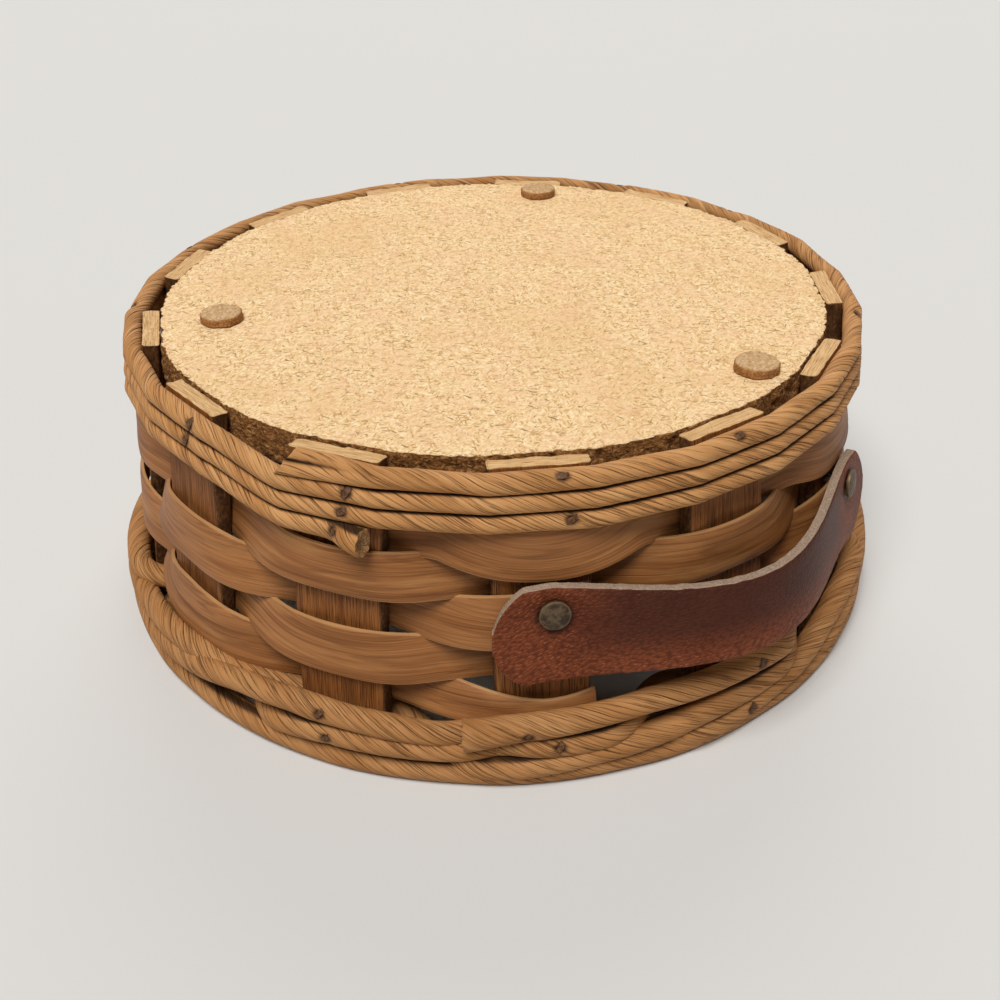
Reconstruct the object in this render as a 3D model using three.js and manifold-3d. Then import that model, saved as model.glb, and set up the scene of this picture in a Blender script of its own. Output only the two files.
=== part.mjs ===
// A round woven carrier basket for a baking dish, turned over so that it stands on its rim.
// Flat stakes rise from the rim to the edge of a pressed-board base. One splint winds round them
// in a spiral, in front of one stake and behind the next. Rush cord is wound round the base end,
// the rim is a rush cord under a three-rod wale, and a riveted leather strap on each side is the
// handle.
// Millimetres, +Z up, origin at the middle of the circle that the rim stands on.
import * as THREE from "three";
import { mergeVertices } from "three/addons/utils/BufferGeometryUtils.js";
import Module from "manifold-3d";

const wasm = await Module();
wasm.setup();

// Clearance between pieces that lie against each other
const FIT = 0.3;

// Wall: radii of the stakes' outer faces, in the rim's plane and in the plane of the base
const WALL_RADIUS_RIM = 116.2;
const WALL_RADIUS_BASE = 106;
const BASE_HEIGHT = 90;

// Stakes
const STAKE_COUNT = 13;
const STAKE_WIDTH = 25.4;
const STAKE_THICK = 4.8;
const STAKE_EASE = 0.5;
const STAKE_DROP = 0.9; // from the base's outer face down to the stakes' ends
const STAKE_RAISE = 1.5; // from the rim's plane up to the stakes' other ends

// Base board and its feet
const BASE_THICK = 10;
const BASE_EASE = 0.8;
const FOOT_DIAMETER = 12.7;
const FOOT_THICK = 3;
const FOOT_EASE = 0.5;
const FOOT_RIGHT_INSET = 8.7; // from the board's edge to the middle of the foot
const FOOT_BACK_INSET = 12;
const FOOT_LEFT_INSET = 18;
const FEET = [
  { name: "foot_right", turn: 24, inset: FOOT_RIGHT_INSET },
  { name: "foot_back", turn: 142, inset: FOOT_BACK_INSET },
  { name: "foot_left", turn: 257.4, inset: FOOT_LEFT_INSET },
];

// Rush cord wound round the base end, counted from its upper end
const WINDING_DIAMETER = 5.2;
const WINDING_GAP = 0.5;
const WINDING_TURNS = 3;
const WINDING_START = -54.2; // degrees
const WINDING_OVERLAP = 10.7; // degrees past the last full turn
const WINDING_STEP = 38; // degrees in which a turn goes down to the next one
const WINDING_DROP = 0.2; // from the base's outer face down to the crest of the first turn
const RING_STEPS = 48; // in a turn of cord

// Rim: a cord that the basket stands on, and above it a wale of rods, each of which passes in
// front of two stakes and behind the third
const RIM_DIAMETER = 6;
const RIM_GAP = 0.5;
const RIM_CORD_START = 150; // degrees
const RIM_RODS = 3;
const RIM_FIRST_STAKE = 10;
const RIM_CUTS = [1.63, 2, 1]; // where each rod starts, in stakes on from the first one
const RIM_CUT_GAP = 1; // between the end of one cord and the start of the next
const RIM_STEPS = 8; // from stake to stake
const CROSSING_START = 0.25; // share of the way from stake to stake where a rod leaves the inside
const CORD_SIDES = 6;

// Splint that weaves through the stakes. Its first turn runs in under the winding and its last
// one in under the wale, so the splint tapers at both ends.
const WEAVER_WIDTH = 11.6;
const WEAVER_THICK = 1.8;
const WEAVER_GAP = 0.5;
const WEAVER_TUCK = 4.2; // how far the first turn would reach past the winding if it didn't taper
const WEAVER_FIRST_STAKE = 11;
const WEAVER_END_WIDTH = 3.5; // least width that the tapered end may have
const WEAVER_FLATNESS = 0.08; // how much flatter than a cosine the splint lies across a stake
const WEAVER_STEPS = 8; // from stake to stake

// Leather strap handles
const STRAP_WIDTH = 27;
const STRAP_WAIST = 24.5; // width in the middle
const STRAP_THICK = 3.2;
const STRAP_BOW = 10; // how far the middle stands out past the riveted ends
const STRAP_TAIL = 16; // from the rivet to the tip
const STRAP_TIP = 6; // height of the blunt tip
const STRAP_CORNER = 8; // how far the round end reaches past its corners
const STRAP_BEND = 9; // from a stake's edge to the line where the strap bends
const STRAP_STEPS = 20; // in the bow
const CORNER_STEPS = 5;
const HANDLE_SPREAD = 6; // stakes from the middle of one handle to the middle of the other
const HANDLE_RIGHT_DROP = 14.64; // from the upper edge of the splint's second turn to the middle
const HANDLE_LEFT_DROP = 10.85;

// Rivets through strap and stake
const RIVET_RISE = 4; // above the middle of the strap
const RIVET_HEAD = 8.2;
const RIVET_HEAD_THICK = 1.3;
const RIVET_CROWN = 0.5; // of the head's thickness, the part that is domed
const RIVET_SHANK = 3.4;
const RIVET_TAIL = 6.2;
const RIVET_TAIL_THICK = 1;
const WASHER_DIAMETER = 9.5;
const WASHER_THICK = 0.9;

const ROUND_SIDES = 18;
const BASE_SIDES = 64;
const DEGREE = Math.PI / 180;

// Colours and finishes
const finish = (color, roughness, metalness = 0) =>
  new THREE.MeshStandardMaterial({ color, roughness, metalness });
const BOARD = finish("#d3a970", 0.9);
const CORK = finish("#a3764f", 0.95);
const SLAT = finish("#94683a", 0.7);
const SPLINT = finish("#a67440", 0.6);
const RUSH = finish("#9c6c41", 0.75);
const LEATHER = finish("#6e3421", 0.5);
const AGED_BRASS = finish("#6f6043", 0.45, 0.8);

// Places that the pieces share
const STAKE_PITCH = (2 * Math.PI) / STAKE_COUNT;
const FIRST_TURN = (Math.PI - HANDLE_SPREAD * STAKE_PITCH) / 2;
const WALL_SLOPE = (WALL_RADIUS_RIM - WALL_RADIUS_BASE) / BASE_HEIGHT;
const LEAN = Math.atan(WALL_SLOPE);
const STAKE_DEPTH = STAKE_THICK / Math.cos(LEAN);

const stakeTurn = (stake) => FIRST_TURN + stake * STAKE_PITCH;
const wallRadius = (z) => WALL_RADIUS_RIM - WALL_SLOPE * z;
const outsideStakes = (z) => Math.hypot(wallRadius(z), STAKE_WIDTH / 2) + FIT;
const insideStakes = (z) => wallRadius(z) - STAKE_DEPTH - FIT;
const polar = (radius, turn, z) =>
  new THREE.Vector3(radius * Math.cos(turn), radius * Math.sin(turn), z);

// A closed body through rings that follow each other, each run from outward towards upward.
function loft(rings) {
  const sides = rings[0].length;
  const index = [];
  for (let i = 0; i + 1 < rings.length; i++) {
    for (let j = 0; j < sides; j++) {
      const here = i * sides + j;
      const beside = i * sides + ((j + 1) % sides);
      index.push(here, here + sides, beside + sides);
      index.push(here, beside + sides, beside);
    }
  }
  const last = (rings.length - 1) * sides;
  for (let j = 1; j + 1 < sides; j++) {
    index.push(0, j, j + 1);
    index.push(last, last + j + 1, last + j);
  }
  const geometry = new THREE.BufferGeometry().setFromPoints(rings.flat());
  geometry.setIndex(index);
  geometry.computeVertexNormals();
  return geometry;
}

// A faceted cord along points, with a corner of its section up and one down.
function cordAlong(points, diameter) {
  const up = new THREE.Vector3(0, 0, 1);
  const rings = points.map((point, i) => {
    const before = points[Math.max(i - 1, 0)];
    const after = points[Math.min(i + 1, points.length - 1)];
    const along = after.clone().sub(before).normalize();
    const outward = along.clone().cross(up).normalize();
    const upward = outward.clone().cross(along);
    return Array.from({ length: CORD_SIDES }, (_, side) => {
      const turn = Math.PI / 2 + (side * 2 * Math.PI) / CORD_SIDES;
      return point
        .clone()
        .addScaledVector(outward, (Math.cos(turn) * diameter) / 2)
        .addScaledVector(upward, (Math.sin(turn) * diameter) / 2);
    });
  });
  return loft(rings);
}

// The least room between a cord and itself, measured between points that lie at least the given
// count of steps apart along the cord.
function leastGap(points, diameter, apart) {
  let least = Infinity;
  points.forEach((point, i) =>
    points.slice(i + apart).forEach((other) => {
      least = Math.min(least, point.distanceTo(other) - diameter);
    }),
  );
  return least;
}

// Cuts and joins
function solidOf(geometry) {
  const bare = geometry.clone();
  bare.deleteAttribute("normal");
  bare.deleteAttribute("uv");
  const merged = mergeVertices(bare, 1e-4);
  const corners = merged.index.array;
  const triVerts = [];
  for (let i = 0; i < corners.length; i += 3) {
    const [a, b, c] = corners.slice(i, i + 3);
    if (a !== b && b !== c && c !== a) triVerts.push(a, b, c);
  }
  return new wasm.Manifold(
    new wasm.Mesh({
      numProp: 3,
      vertProperties: merged.attributes.position.array,
      triVerts: new Uint32Array(triVerts),
    }),
  );
}

function geometryOf(solid) {
  const mesh = solid.getMesh();
  const geometry = new THREE.BufferGeometry();
  geometry.setAttribute("position", new THREE.BufferAttribute(mesh.vertProperties, 3));
  geometry.setIndex(new THREE.BufferAttribute(mesh.triVerts, 1));
  geometry.computeVertexNormals();
  return geometry;
}

const cut = (geometry, cutters) =>
  geometryOf(
    cutters.reduce((solid, cutter) => solid.subtract(solidOf(cutter)), solidOf(geometry)),
  );
const common = (geometry, cutter) => geometryOf(solidOf(geometry).intersect(solidOf(cutter)));

// A turned body about Z from [radius, height] pairs.
function turned(profile, sides) {
  const points = profile.map(([radius, z]) => new THREE.Vector2(radius, z));
  return new THREE.LatheGeometry(points, sides).rotateX(Math.PI / 2);
}

function named(name, geometry, material) {
  const mesh = new THREE.Mesh(geometry, material);
  mesh.name = name;
  return mesh;
}

// Base board, its edge sloped like the stakes that are nailed to it
const boardRadius = (z) => insideStakes(z);
const BOARD_LOW = BASE_HEIGHT - BASE_THICK;

function baseBoard() {
  const profile = [
    [0, BOARD_LOW],
    [boardRadius(BOARD_LOW) - BASE_EASE, BOARD_LOW],
    [boardRadius(BOARD_LOW + BASE_EASE), BOARD_LOW + BASE_EASE],
    [boardRadius(BASE_HEIGHT - BASE_EASE), BASE_HEIGHT - BASE_EASE],
    [boardRadius(BASE_HEIGHT) - BASE_EASE, BASE_HEIGHT],
    [0, BASE_HEIGHT],
  ];
  return named("base_board", turned(profile, BASE_SIDES), BOARD);
}

function foot({ name, turn, inset }) {
  const radius = FOOT_DIAMETER / 2;
  const profile = [
    [0, 0],
    [radius, 0],
    [radius, FOOT_THICK - FOOT_EASE],
    [radius - FOOT_EASE, FOOT_THICK],
    [0, FOOT_THICK],
  ];
  const mesh = named(name, turned(profile, ROUND_SIDES), CORK);
  mesh.position.copy(polar(boardRadius(BASE_HEIGHT) - inset, turn * DEGREE, BASE_HEIGHT + FIT));
  return mesh;
}

// A stake's own frame: x out of its outer face, y across it, z along it
function stakeFrame(turn) {
  const lean = new THREE.Group();
  lean.position.x = WALL_RADIUS_RIM;
  lean.rotation.y = -LEAN;
  const group = new THREE.Group();
  group.rotation.z = turn;
  group.add(lean);
  group.updateMatrixWorld(true);
  return { group, lean };
}

const alongStake = (z) => z / Math.cos(LEAN);

function stakeGeometry() {
  const half = STAKE_WIDTH / 2;
  const outline = new THREE.Shape();
  outline.moveTo(0, -half + STAKE_EASE);
  outline.lineTo(0, half - STAKE_EASE);
  outline.lineTo(-STAKE_EASE, half);
  outline.lineTo(-STAKE_THICK + STAKE_EASE, half);
  outline.lineTo(-STAKE_THICK, half - STAKE_EASE);
  outline.lineTo(-STAKE_THICK, -half + STAKE_EASE);
  outline.lineTo(-STAKE_THICK + STAKE_EASE, -half);
  outline.lineTo(-STAKE_EASE, -half);
  const low = alongStake(STAKE_RAISE);
  const high = alongStake(BASE_HEIGHT - STAKE_DROP);
  return new THREE.ExtrudeGeometry(outline, { depth: high - low, bevelEnabled: false }).translate(
    0,
    0,
    low,
  );
}

// Rush winding at the base end. A turn runs level and goes down by one cord before it comes round.
const WINDING_RISE = WINDING_DIAMETER + WINDING_GAP;
const WINDING_TOP = BASE_HEIGHT - WINDING_DROP - WINDING_DIAMETER / 2;
function windingLevel(turns) {
  const full = Math.floor(turns);
  const step = THREE.MathUtils.smoothstep(turns - full, 1 - WINDING_STEP / 360, 1);
  return WINDING_TOP - (full + step) * WINDING_RISE;
}

const windingUnderside = (turns) => windingLevel(turns) - WINDING_DIAMETER / 2;

function baseWinding() {
  const turns = WINDING_TURNS + WINDING_OVERLAP / 360;
  const steps = Math.ceil(turns * RING_STEPS);
  const points = Array.from({ length: steps + 1 }, (_, i) => {
    const turn = Math.min(i / RING_STEPS, turns);
    const z = windingLevel(turn);
    const radius = outsideStakes(z) + WINDING_DIAMETER / 2;
    return polar(radius, WINDING_START * DEGREE + turn * 2 * Math.PI, z);
  });
  const gap = leastGap(points, WINDING_DIAMETER, RING_STEPS / 2);
  console.log(`base_winding: least gap to itself ${gap.toFixed(2)} mm`);
  return named("base_winding", cordAlong(points, WINDING_DIAMETER), RUSH);
}

// Rim cord and the wale above it. A rod's phase is 0 behind a stake: from there the rod comes out
// low, climbs across the fronts of the next stakes and goes in again high.
const RIM_RISE = RIM_DIAMETER + RIM_GAP;
const RIM_FLAT = RIM_DIAMETER / 10; // worn off the cord where the basket stands on it
const RIM_CORD_LEVEL = RIM_DIAMETER / 2 - RIM_FLAT;
const RIM_LOW = RIM_CORD_LEVEL + RIM_RISE * (0.5 + CROSSING_START);
const RIM_HIGH = RIM_LOW + (RIM_RODS - 1) * RIM_RISE;
const RIM_TOP = RIM_HIGH + RIM_DIAMETER / 2;

function rimPoint(place, rod) {
  const phase = (place + rod) % RIM_RODS;
  const inFront = phase >= 0.5 && phase <= RIM_RODS - 0.5;
  const fall = phase < 0.5 ? phase + 0.5 : phase - RIM_RODS + 0.5;
  const middle = (RIM_LOW + RIM_HIGH) / 2;
  const z = inFront
    ? RIM_LOW + RIM_RISE * (phase - 0.5)
    : middle + (RIM_HIGH - middle) * Math.cos(Math.PI * fall);
  const fromInside = Math.min(phase, RIM_RODS - phase);
  const way = (fromInside - CROSSING_START) / (1 - 2 * CROSSING_START);
  const out = (1 - Math.cos(Math.PI * THREE.MathUtils.clamp(way, 0, 1))) / 2;
  const front = outsideStakes(z) + RIM_DIAMETER / 2;
  const behind = insideStakes(z) - RIM_DIAMETER / 2;
  return polar(behind + (front - behind) * out, stakeTurn(RIM_FIRST_STAKE + place), z);
}

function rimCord() {
  const ground = new THREE.BoxGeometry(4 * WALL_RADIUS_RIM, 4 * WALL_RADIUS_RIM, 2 * RIM_DIAMETER);
  ground.translate(0, 0, -RIM_DIAMETER);
  const radius = outsideStakes(RIM_CORD_LEVEL) + RIM_DIAMETER / 2;
  const sweep = 2 * Math.PI - RIM_CUT_GAP / radius;
  const points = Array.from({ length: RING_STEPS + 1 }, (_, i) =>
    polar(radius, RIM_CORD_START * DEGREE + (i / RING_STEPS) * sweep, RIM_CORD_LEVEL),
  );
  return named("rim_cord", cut(cordAlong(points, RIM_DIAMETER), [ground]), RUSH);
}

function rimRods() {
  const halfGap = RIM_CUT_GAP / 2 / (WALL_RADIUS_RIM * STAKE_PITCH);
  const routes = Array.from({ length: RIM_RODS }, (_, rod) => {
    const from = RIM_CUTS[rod] + halfGap;
    const to = STAKE_COUNT + RIM_CUTS[(rod + STAKE_COUNT) % RIM_RODS] - halfGap;
    const first = Math.floor(from * RIM_STEPS) + 1;
    const last = Math.ceil(to * RIM_STEPS) - 1;
    const places = [from];
    for (let i = first; i <= last; i++) places.push(i / RIM_STEPS);
    places.push(to);
    return places.map((place) => rimPoint(place, rod));
  });
  return routes.map((route, rod) => {
    const gap = leastGap(route, RIM_DIAMETER, RIM_STEPS);
    console.log(`rim_rod_${rod + 1}: least gap to itself ${gap.toFixed(2)} mm`);
    return named(`rim_rod_${rod + 1}`, cordAlong(route, RIM_DIAMETER), RUSH);
  });
}

// Splint: its middle swings from the inside to the outside of the wall from stake to stake
const WEAVER_DROP = WEAVER_WIDTH + WEAVER_GAP;
const WEAVER_TOP = windingUnderside(WINDING_TURNS - 1) - WEAVER_GAP + WEAVER_TUCK;
const WEAVER_FLOOR = RIM_TOP + WEAVER_GAP;
const WAVE_PEAK = 1 - WEAVER_FLATNESS;

const weaverTurn = (place) => stakeTurn(WEAVER_FIRST_STAKE - STAKE_COUNT + place);
const weaverTop = (place) => WEAVER_TOP - (WEAVER_DROP * place) / STAKE_COUNT;
const wave = (place) =>
  WEAVER_FLATNESS * Math.cos(3 * Math.PI * place) - Math.cos(Math.PI * place);

function weaverMiddle(place, z) {
  const front = outsideStakes(z) + WEAVER_THICK / 2;
  const behind = insideStakes(z) - WEAVER_THICK / 2;
  const edge = Math.atan(STAKE_WIDTH / 2 / wallRadius(z)) / STAKE_PITCH;
  const swing = (front - behind) / (wave(1 + edge) + WAVE_PEAK);
  return behind + swing * (WAVE_PEAK + wave(place));
}

// The height that the splint keeps below, just under the winding's last turn
function weaverCeiling(place) {
  const past = (weaverTurn(place) - WINDING_START * DEGREE) / (2 * Math.PI);
  return windingUnderside(WINDING_TURNS - 1 + past) - WEAVER_GAP;
}

function weaver(rivetHoles) {
  const edge = STAKE_WIDTH / 2 / (WALL_RADIUS_BASE * STAKE_PITCH);
  const room = ((WEAVER_TOP - WEAVER_FLOOR - WEAVER_END_WIDTH) * STAKE_COUNT) / WEAVER_DROP;
  const lastFront = 2 * Math.floor((room - 1) / 2) + 1;
  const steps = Math.round((lastFront + 2 * edge) * WEAVER_STEPS);
  const rings = Array.from({ length: steps + 1 }, (_, i) => {
    const place = -edge + (i / steps) * (lastFront + 2 * edge);
    const turn = weaverTurn(place);
    const high = Math.min(weaverTop(place), weaverCeiling(place));
    const low = Math.max(weaverTop(place) - WEAVER_WIDTH, WEAVER_FLOOR);
    const corner = (side, z) =>
      polar(weaverMiddle(place, z) + (side * WEAVER_THICK) / 2, turn, z);
    return [corner(-1, low), corner(1, low), corner(1, high), corner(-1, high)];
  });
  return named("weaver", cut(loft(rings), rivetHoles), SPLINT);
}

// Handles. They hang on the splint's second turn, which their rivets pass.
function handleLevel(stake, drop) {
  const past = (stake - WEAVER_FIRST_STAKE + STAKE_COUNT) % STAKE_COUNT;
  return weaverTop(STAKE_COUNT + past) - drop;
}

const HANDLES = [
  { name: "right", stake: 0, level: handleLevel(0, HANDLE_RIGHT_DROP) },
  { name: "left", stake: HANDLE_SPREAD, level: handleLevel(HANDLE_SPREAD, HANDLE_LEFT_DROP) },
];

// In a handle's frame x points out through the middle of the strap.
const strapStandoff = (z) =>
  weaverMiddle(1, z) + WEAVER_THICK / 2 + FIT - wallRadius(z);

function strapRadius(turn, level) {
  const seat = wallRadius(level) + strapStandoff(level);
  const past = Math.abs(turn) - STAKE_PITCH;
  if (past > 0) return seat / Math.cos(past);
  return seat + STRAP_BOW * Math.cos(((Math.PI / 2) * turn) / STAKE_PITCH) ** 2;
}

// Half of the strap's height: a round end with corners, then a slight waist
function strapHalf(turn, fromTip) {
  const endRadius = ((STRAP_WIDTH / 2) ** 2 + STRAP_CORNER ** 2) / (2 * STRAP_CORNER);
  if (fromTip < STRAP_CORNER) {
    return Math.max(STRAP_TIP / 2, Math.sqrt(2 * endRadius * fromTip - fromTip ** 2));
  }
  const apart = Math.min(1, Math.abs(turn) / STAKE_PITCH);
  return (STRAP_WAIST + (STRAP_WIDTH - STRAP_WAIST) * apart ** 2) / 2;
}

function strapGeometry(level) {
  const seat = strapRadius(STAKE_PITCH, level);
  const tip = STAKE_PITCH + Math.atan(STRAP_TAIL / seat);
  const turns = [];
  for (let i = 0; i < CORNER_STEPS; i++) {
    const share = 1 - Math.cos(((Math.PI / 2) * i) / CORNER_STEPS);
    turns.push(tip - (share * STRAP_CORNER) / seat);
  }
  const straight = tip - STRAP_CORNER / seat;
  for (let i = 0; i < STRAP_STEPS / 2; i++) turns.push(straight * (1 - (2 * i) / STRAP_STEPS));
  const stations = [...turns.map((turn) => -turn), 0, ...turns.reverse()];
  const rings = stations.map((turn) => {
    const half = strapHalf(turn, (tip - Math.abs(turn)) * seat);
    const radius = strapRadius(turn, level);
    const corner = (depth, z) => polar(radius + depth - WALL_SLOPE * z, turn, level + z);
    return [corner(0, -half), corner(STRAP_THICK, -half), corner(STRAP_THICK, half), corner(0, half)];
  });
  return loft(rings);
}

// The lines where the strap bends lie in planes across the handle's frame.
function strapBend(level) {
  const seat = strapRadius(STAKE_PITCH, level);
  const turn = STAKE_PITCH - (STAKE_WIDTH / 2 + STRAP_BEND) / seat;
  const middle = strapRadius(turn, level) + STRAP_THICK / 2;
  return { x: middle * Math.cos(turn), y: middle * Math.sin(turn) };
}

// Everything on a rivet's axis, in the frame of its stake
const rivetSeat = (level) => strapStandoff(level) + STRAP_THICK + FIT;
const WASHER_SEAT = -(STAKE_THICK + FIT + WEAVER_THICK + FIT);

function rivetHole(level) {
  const length = 2 * (rivetSeat(level) - WASHER_SEAT);
  return new THREE.CylinderGeometry(
    RIVET_SHANK / 2 + FIT,
    RIVET_SHANK / 2 + FIT,
    length,
    ROUND_SIDES,
  )
    .rotateZ(Math.PI / 2)
    .translate(0, 0, alongStake(level + RIVET_RISE));
}

// A turned body whose axis lies along x at a rivet's height.
const alongRivet = (profile, level) =>
  turned(profile, ROUND_SIDES)
    .rotateY(Math.PI / 2)
    .translate(0, 0, alongStake(level + RIVET_RISE));

function rivetGeometry(level) {
  const head = rivetSeat(level);
  const shoulder = head + RIVET_HEAD_THICK - RIVET_CROWN;
  const tail = WASHER_SEAT - WASHER_THICK - FIT;
  const profile = [
    [0, tail - RIVET_TAIL_THICK],
    [RIVET_TAIL / 2 - RIVET_CROWN, tail - RIVET_TAIL_THICK],
    [RIVET_TAIL / 2, tail - RIVET_TAIL_THICK + RIVET_CROWN],
    [RIVET_TAIL / 2, tail],
    [RIVET_SHANK / 2, tail],
    [RIVET_SHANK / 2, head],
    [RIVET_HEAD / 2, head],
    [RIVET_HEAD / 2, shoulder],
    [RIVET_HEAD / 2 - RIVET_CROWN, head + RIVET_HEAD_THICK],
    [0, head + RIVET_HEAD_THICK],
  ];
  return alongRivet(profile, level);
}

function washerGeometry(level) {
  const inner = RIVET_SHANK / 2 + FIT;
  const outer = WASHER_DIAMETER / 2;
  const profile = [
    [inner, WASHER_SEAT - WASHER_THICK],
    [outer, WASHER_SEAT - WASHER_THICK],
    [outer, WASHER_SEAT],
    [inner, WASHER_SEAT],
    [inner, WASHER_SEAT - WASHER_THICK],
  ];
  return alongRivet(profile, level);
}

// The whole basket
const basket = new THREE.Group();
basket.add(baseBoard());
FEET.forEach((place) => basket.add(foot(place)));

const rivets = new Map();
HANDLES.forEach(({ name, stake, level }) => {
  rivets.set((stake + STAKE_COUNT - 1) % STAKE_COUNT, { name: `${name}_1`, level });
  rivets.set((stake + 1) % STAKE_COUNT, { name: `${name}_2`, level });
});

const weaverHoles = [];
for (let stake = 0; stake < STAKE_COUNT; stake++) {
  const { group, lean } = stakeFrame(stakeTurn(stake));
  const rivet = rivets.get(stake);
  const name = `stake_${String(stake + 1).padStart(2, "0")}`;
  if (rivet) {
    const hole = rivetHole(rivet.level);
    weaverHoles.push(hole.clone().applyMatrix4(lean.matrixWorld));
    lean.add(named(name, cut(stakeGeometry(), [hole]), SLAT));
    lean.add(named(`rivet_${rivet.name}`, rivetGeometry(rivet.level), AGED_BRASS));
    lean.add(named(`rivet_washer_${rivet.name}`, washerGeometry(rivet.level), AGED_BRASS));
  } else {
    lean.add(named(name, stakeGeometry(), SLAT));
  }
  basket.add(group);
}
basket.add(weaver(weaverHoles), baseWinding(), rimCord(), ...rimRods());

HANDLES.forEach(({ name, stake, level }) => {
  const handle = new THREE.Group();
  handle.rotation.z = stakeTurn(stake);
  const holes = [-STAKE_PITCH, STAKE_PITCH].map((turn) =>
    rivetHole(level).applyMatrix4(stakeFrame(turn).lean.matrixWorld),
  );
  const strap = cut(strapGeometry(level), holes);
  const bend = strapBend(level);
  const reach = 4 * WALL_RADIUS_RIM;
  const slab = (from, to) =>
    new THREE.BoxGeometry(reach, to - from, reach).translate(0, (from + to) / 2, 0);
  const bow = slab(FIT / 2 - bend.y, bend.y - FIT / 2);
  handle.add(
    named(`strap_end_${name}_1`, common(strap, slab(-reach, -bend.y - FIT / 2)), LEATHER),
    named(`strap_bow_${name}`, common(strap, bow), LEATHER),
    named(`strap_end_${name}_2`, common(strap, slab(bend.y + FIT / 2, reach)), LEATHER),
  );
  basket.add(handle);
});

export default basket;
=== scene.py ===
import math

import bpy
import numpy as np
from mathutils import Matrix, Vector


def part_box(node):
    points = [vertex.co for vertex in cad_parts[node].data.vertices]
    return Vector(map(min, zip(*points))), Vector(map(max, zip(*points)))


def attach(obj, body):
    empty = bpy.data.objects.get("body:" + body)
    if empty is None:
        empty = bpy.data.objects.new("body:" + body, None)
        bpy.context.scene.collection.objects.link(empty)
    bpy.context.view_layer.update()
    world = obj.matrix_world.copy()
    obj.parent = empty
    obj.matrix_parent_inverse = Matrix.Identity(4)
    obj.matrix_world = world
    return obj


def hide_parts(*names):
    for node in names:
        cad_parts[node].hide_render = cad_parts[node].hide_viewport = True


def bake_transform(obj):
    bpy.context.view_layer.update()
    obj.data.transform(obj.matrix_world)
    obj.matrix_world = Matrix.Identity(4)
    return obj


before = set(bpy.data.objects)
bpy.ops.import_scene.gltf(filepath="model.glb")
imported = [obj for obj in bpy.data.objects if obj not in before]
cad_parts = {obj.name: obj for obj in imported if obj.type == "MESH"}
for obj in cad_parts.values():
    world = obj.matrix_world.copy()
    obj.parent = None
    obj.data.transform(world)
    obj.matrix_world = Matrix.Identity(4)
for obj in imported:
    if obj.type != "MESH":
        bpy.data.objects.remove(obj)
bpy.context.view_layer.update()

# The looks of a round woven carrier basket, turned over so that it stands on its rim.
# Lengths are in millimetres, as in the solids, and become metres when a mesh is made.
MM = 0.001
UP = np.array([0.0, 0.0, 1.0])
TAU = 2 * math.pi

# Least radius of a ring at the middle of a round piece
CORE = 0.2

# Wall and stakes
FIT = 0.3
WALL_RADIUS_RIM = 116.2
WALL_RADIUS_BASE = 106
BASE_HEIGHT = 90
STAKE_COUNT = 13
STAKE_WIDTH = 25.4
STAKE_THICK = 4.8
STAKE_EASE = 0.5
STAKE_DROP = 0.9
STAKE_PROUD = 0.5
STAKE_RAISE = 1.5
STAKE_STEP = 1.5
STAKE_FACE_POINTS = 15
STAKE_SIDES = (0.12, 0.5, 0.88)
STAKE_END = 0.3
STAKE_FLUTES = 0.09
STAKE_SHY = 0.05
STAKE_NARROW = 0.008
STAKE_SWAY = 0.25
STAKE_SAWN = 0.3
STAKE_SAWN_LOW = 0.1
STAKE_FIBRE = (1, 1, 0.05)

# Base board and feet
BASE_THICK = 10
BOARD_SEGMENTS = 640
BOARD_INSETS = (101.5, 90, 72, 52, 30, 16, 9, 5, 2.8, 1.2, 0.5)
BOARD_EDGE_INSET = 0.2
BOARD_EDGE_ROWS = 14
BOARD_EASE = 0.3
BOARD_CRUMBLE = 0.8
BOARD_CRUMBLE_REACH = 1.5
BOARD_CHIP = 0.4
BOARD_COARSE = 0.6
BOARD_WORN_FROM = 0.6
BOARD_WORN_RATE = 1.1
BOARD_WORN_MOST = 0.7
BOARD_WARP = 0.05
FOOT_SEGMENTS = 60
FOOT_SHOWN = 2.5
FOOT_EDGE = ((1.2, 0), (0.5, 0.12), (0.12, 0.45), (0, 0.9))
FOOT_UNEVEN = 0.22
FOOT_PROUD = 0.05

# Rush cord: the strips and creases of its twisted paper, and the fineness of its mesh
CORD_STEP = 1.3
CORD_SWELL = 0.03
CORD_OVAL = 0.035
STRIPS = 9
STRIP_WIDTHS = (0.55, 1.45)
STRIP_PLACES = (0.0, 0.07, 0.3, 0.55, 0.8, 0.95)
STRIP_DIPS = (1.0, 0.1, -0.08, -0.1, -0.06, 0.12)
CREASE_DEPTH = 0.36
CREASE_STRENGTH = (0.5, 0.75)
CREASE_LIMITS = (0.02, 1.25)
# Painted shade where another cord lies on a cord: its reach round the cord and its strength.
SEAM_REACH = 0.52
SEAM_SHADE = 0.95
BEAK_TILT = 0.9
BEAK_SLIT = 0.26
BEAK_SLANT = 0.8
BEAK_DEPTH = 2.4
BEAK_FLAT = 0.35
TORN_DEPTH = 0.45
TORN_REACH = 0.4
CUT_SHADE = 0.9
CORD_ENDS = ((0.97, 0.1), (0.86, 0.05), (0.6, -0.35), (0.3, -0.7), (0.08, -0.8))
FLARE_LENGTH = 11
DENT_DEPTH = 0.9
DENT_REACH = 1.8
DENT_SPAN = 6
# Strength of the painted shade in a dent.
DENT_SHADE = 1.1

# Flecks of the board: the way they lie, their fineness, colour and share
BOARD_FLECKS = (
    (0.3, 1.0, "#b98c54", 0.26), (1.3, 1.3, "#c0935a", 0.32), (2.3, 0.9, "#a97c47", 0.2),
    (0.9, 1.5, "#946a3a", 0.14), (1.9, 1.2, "#845b30", 0.1), (2.8, 1.0, "#75502a", 0.05),
)

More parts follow.
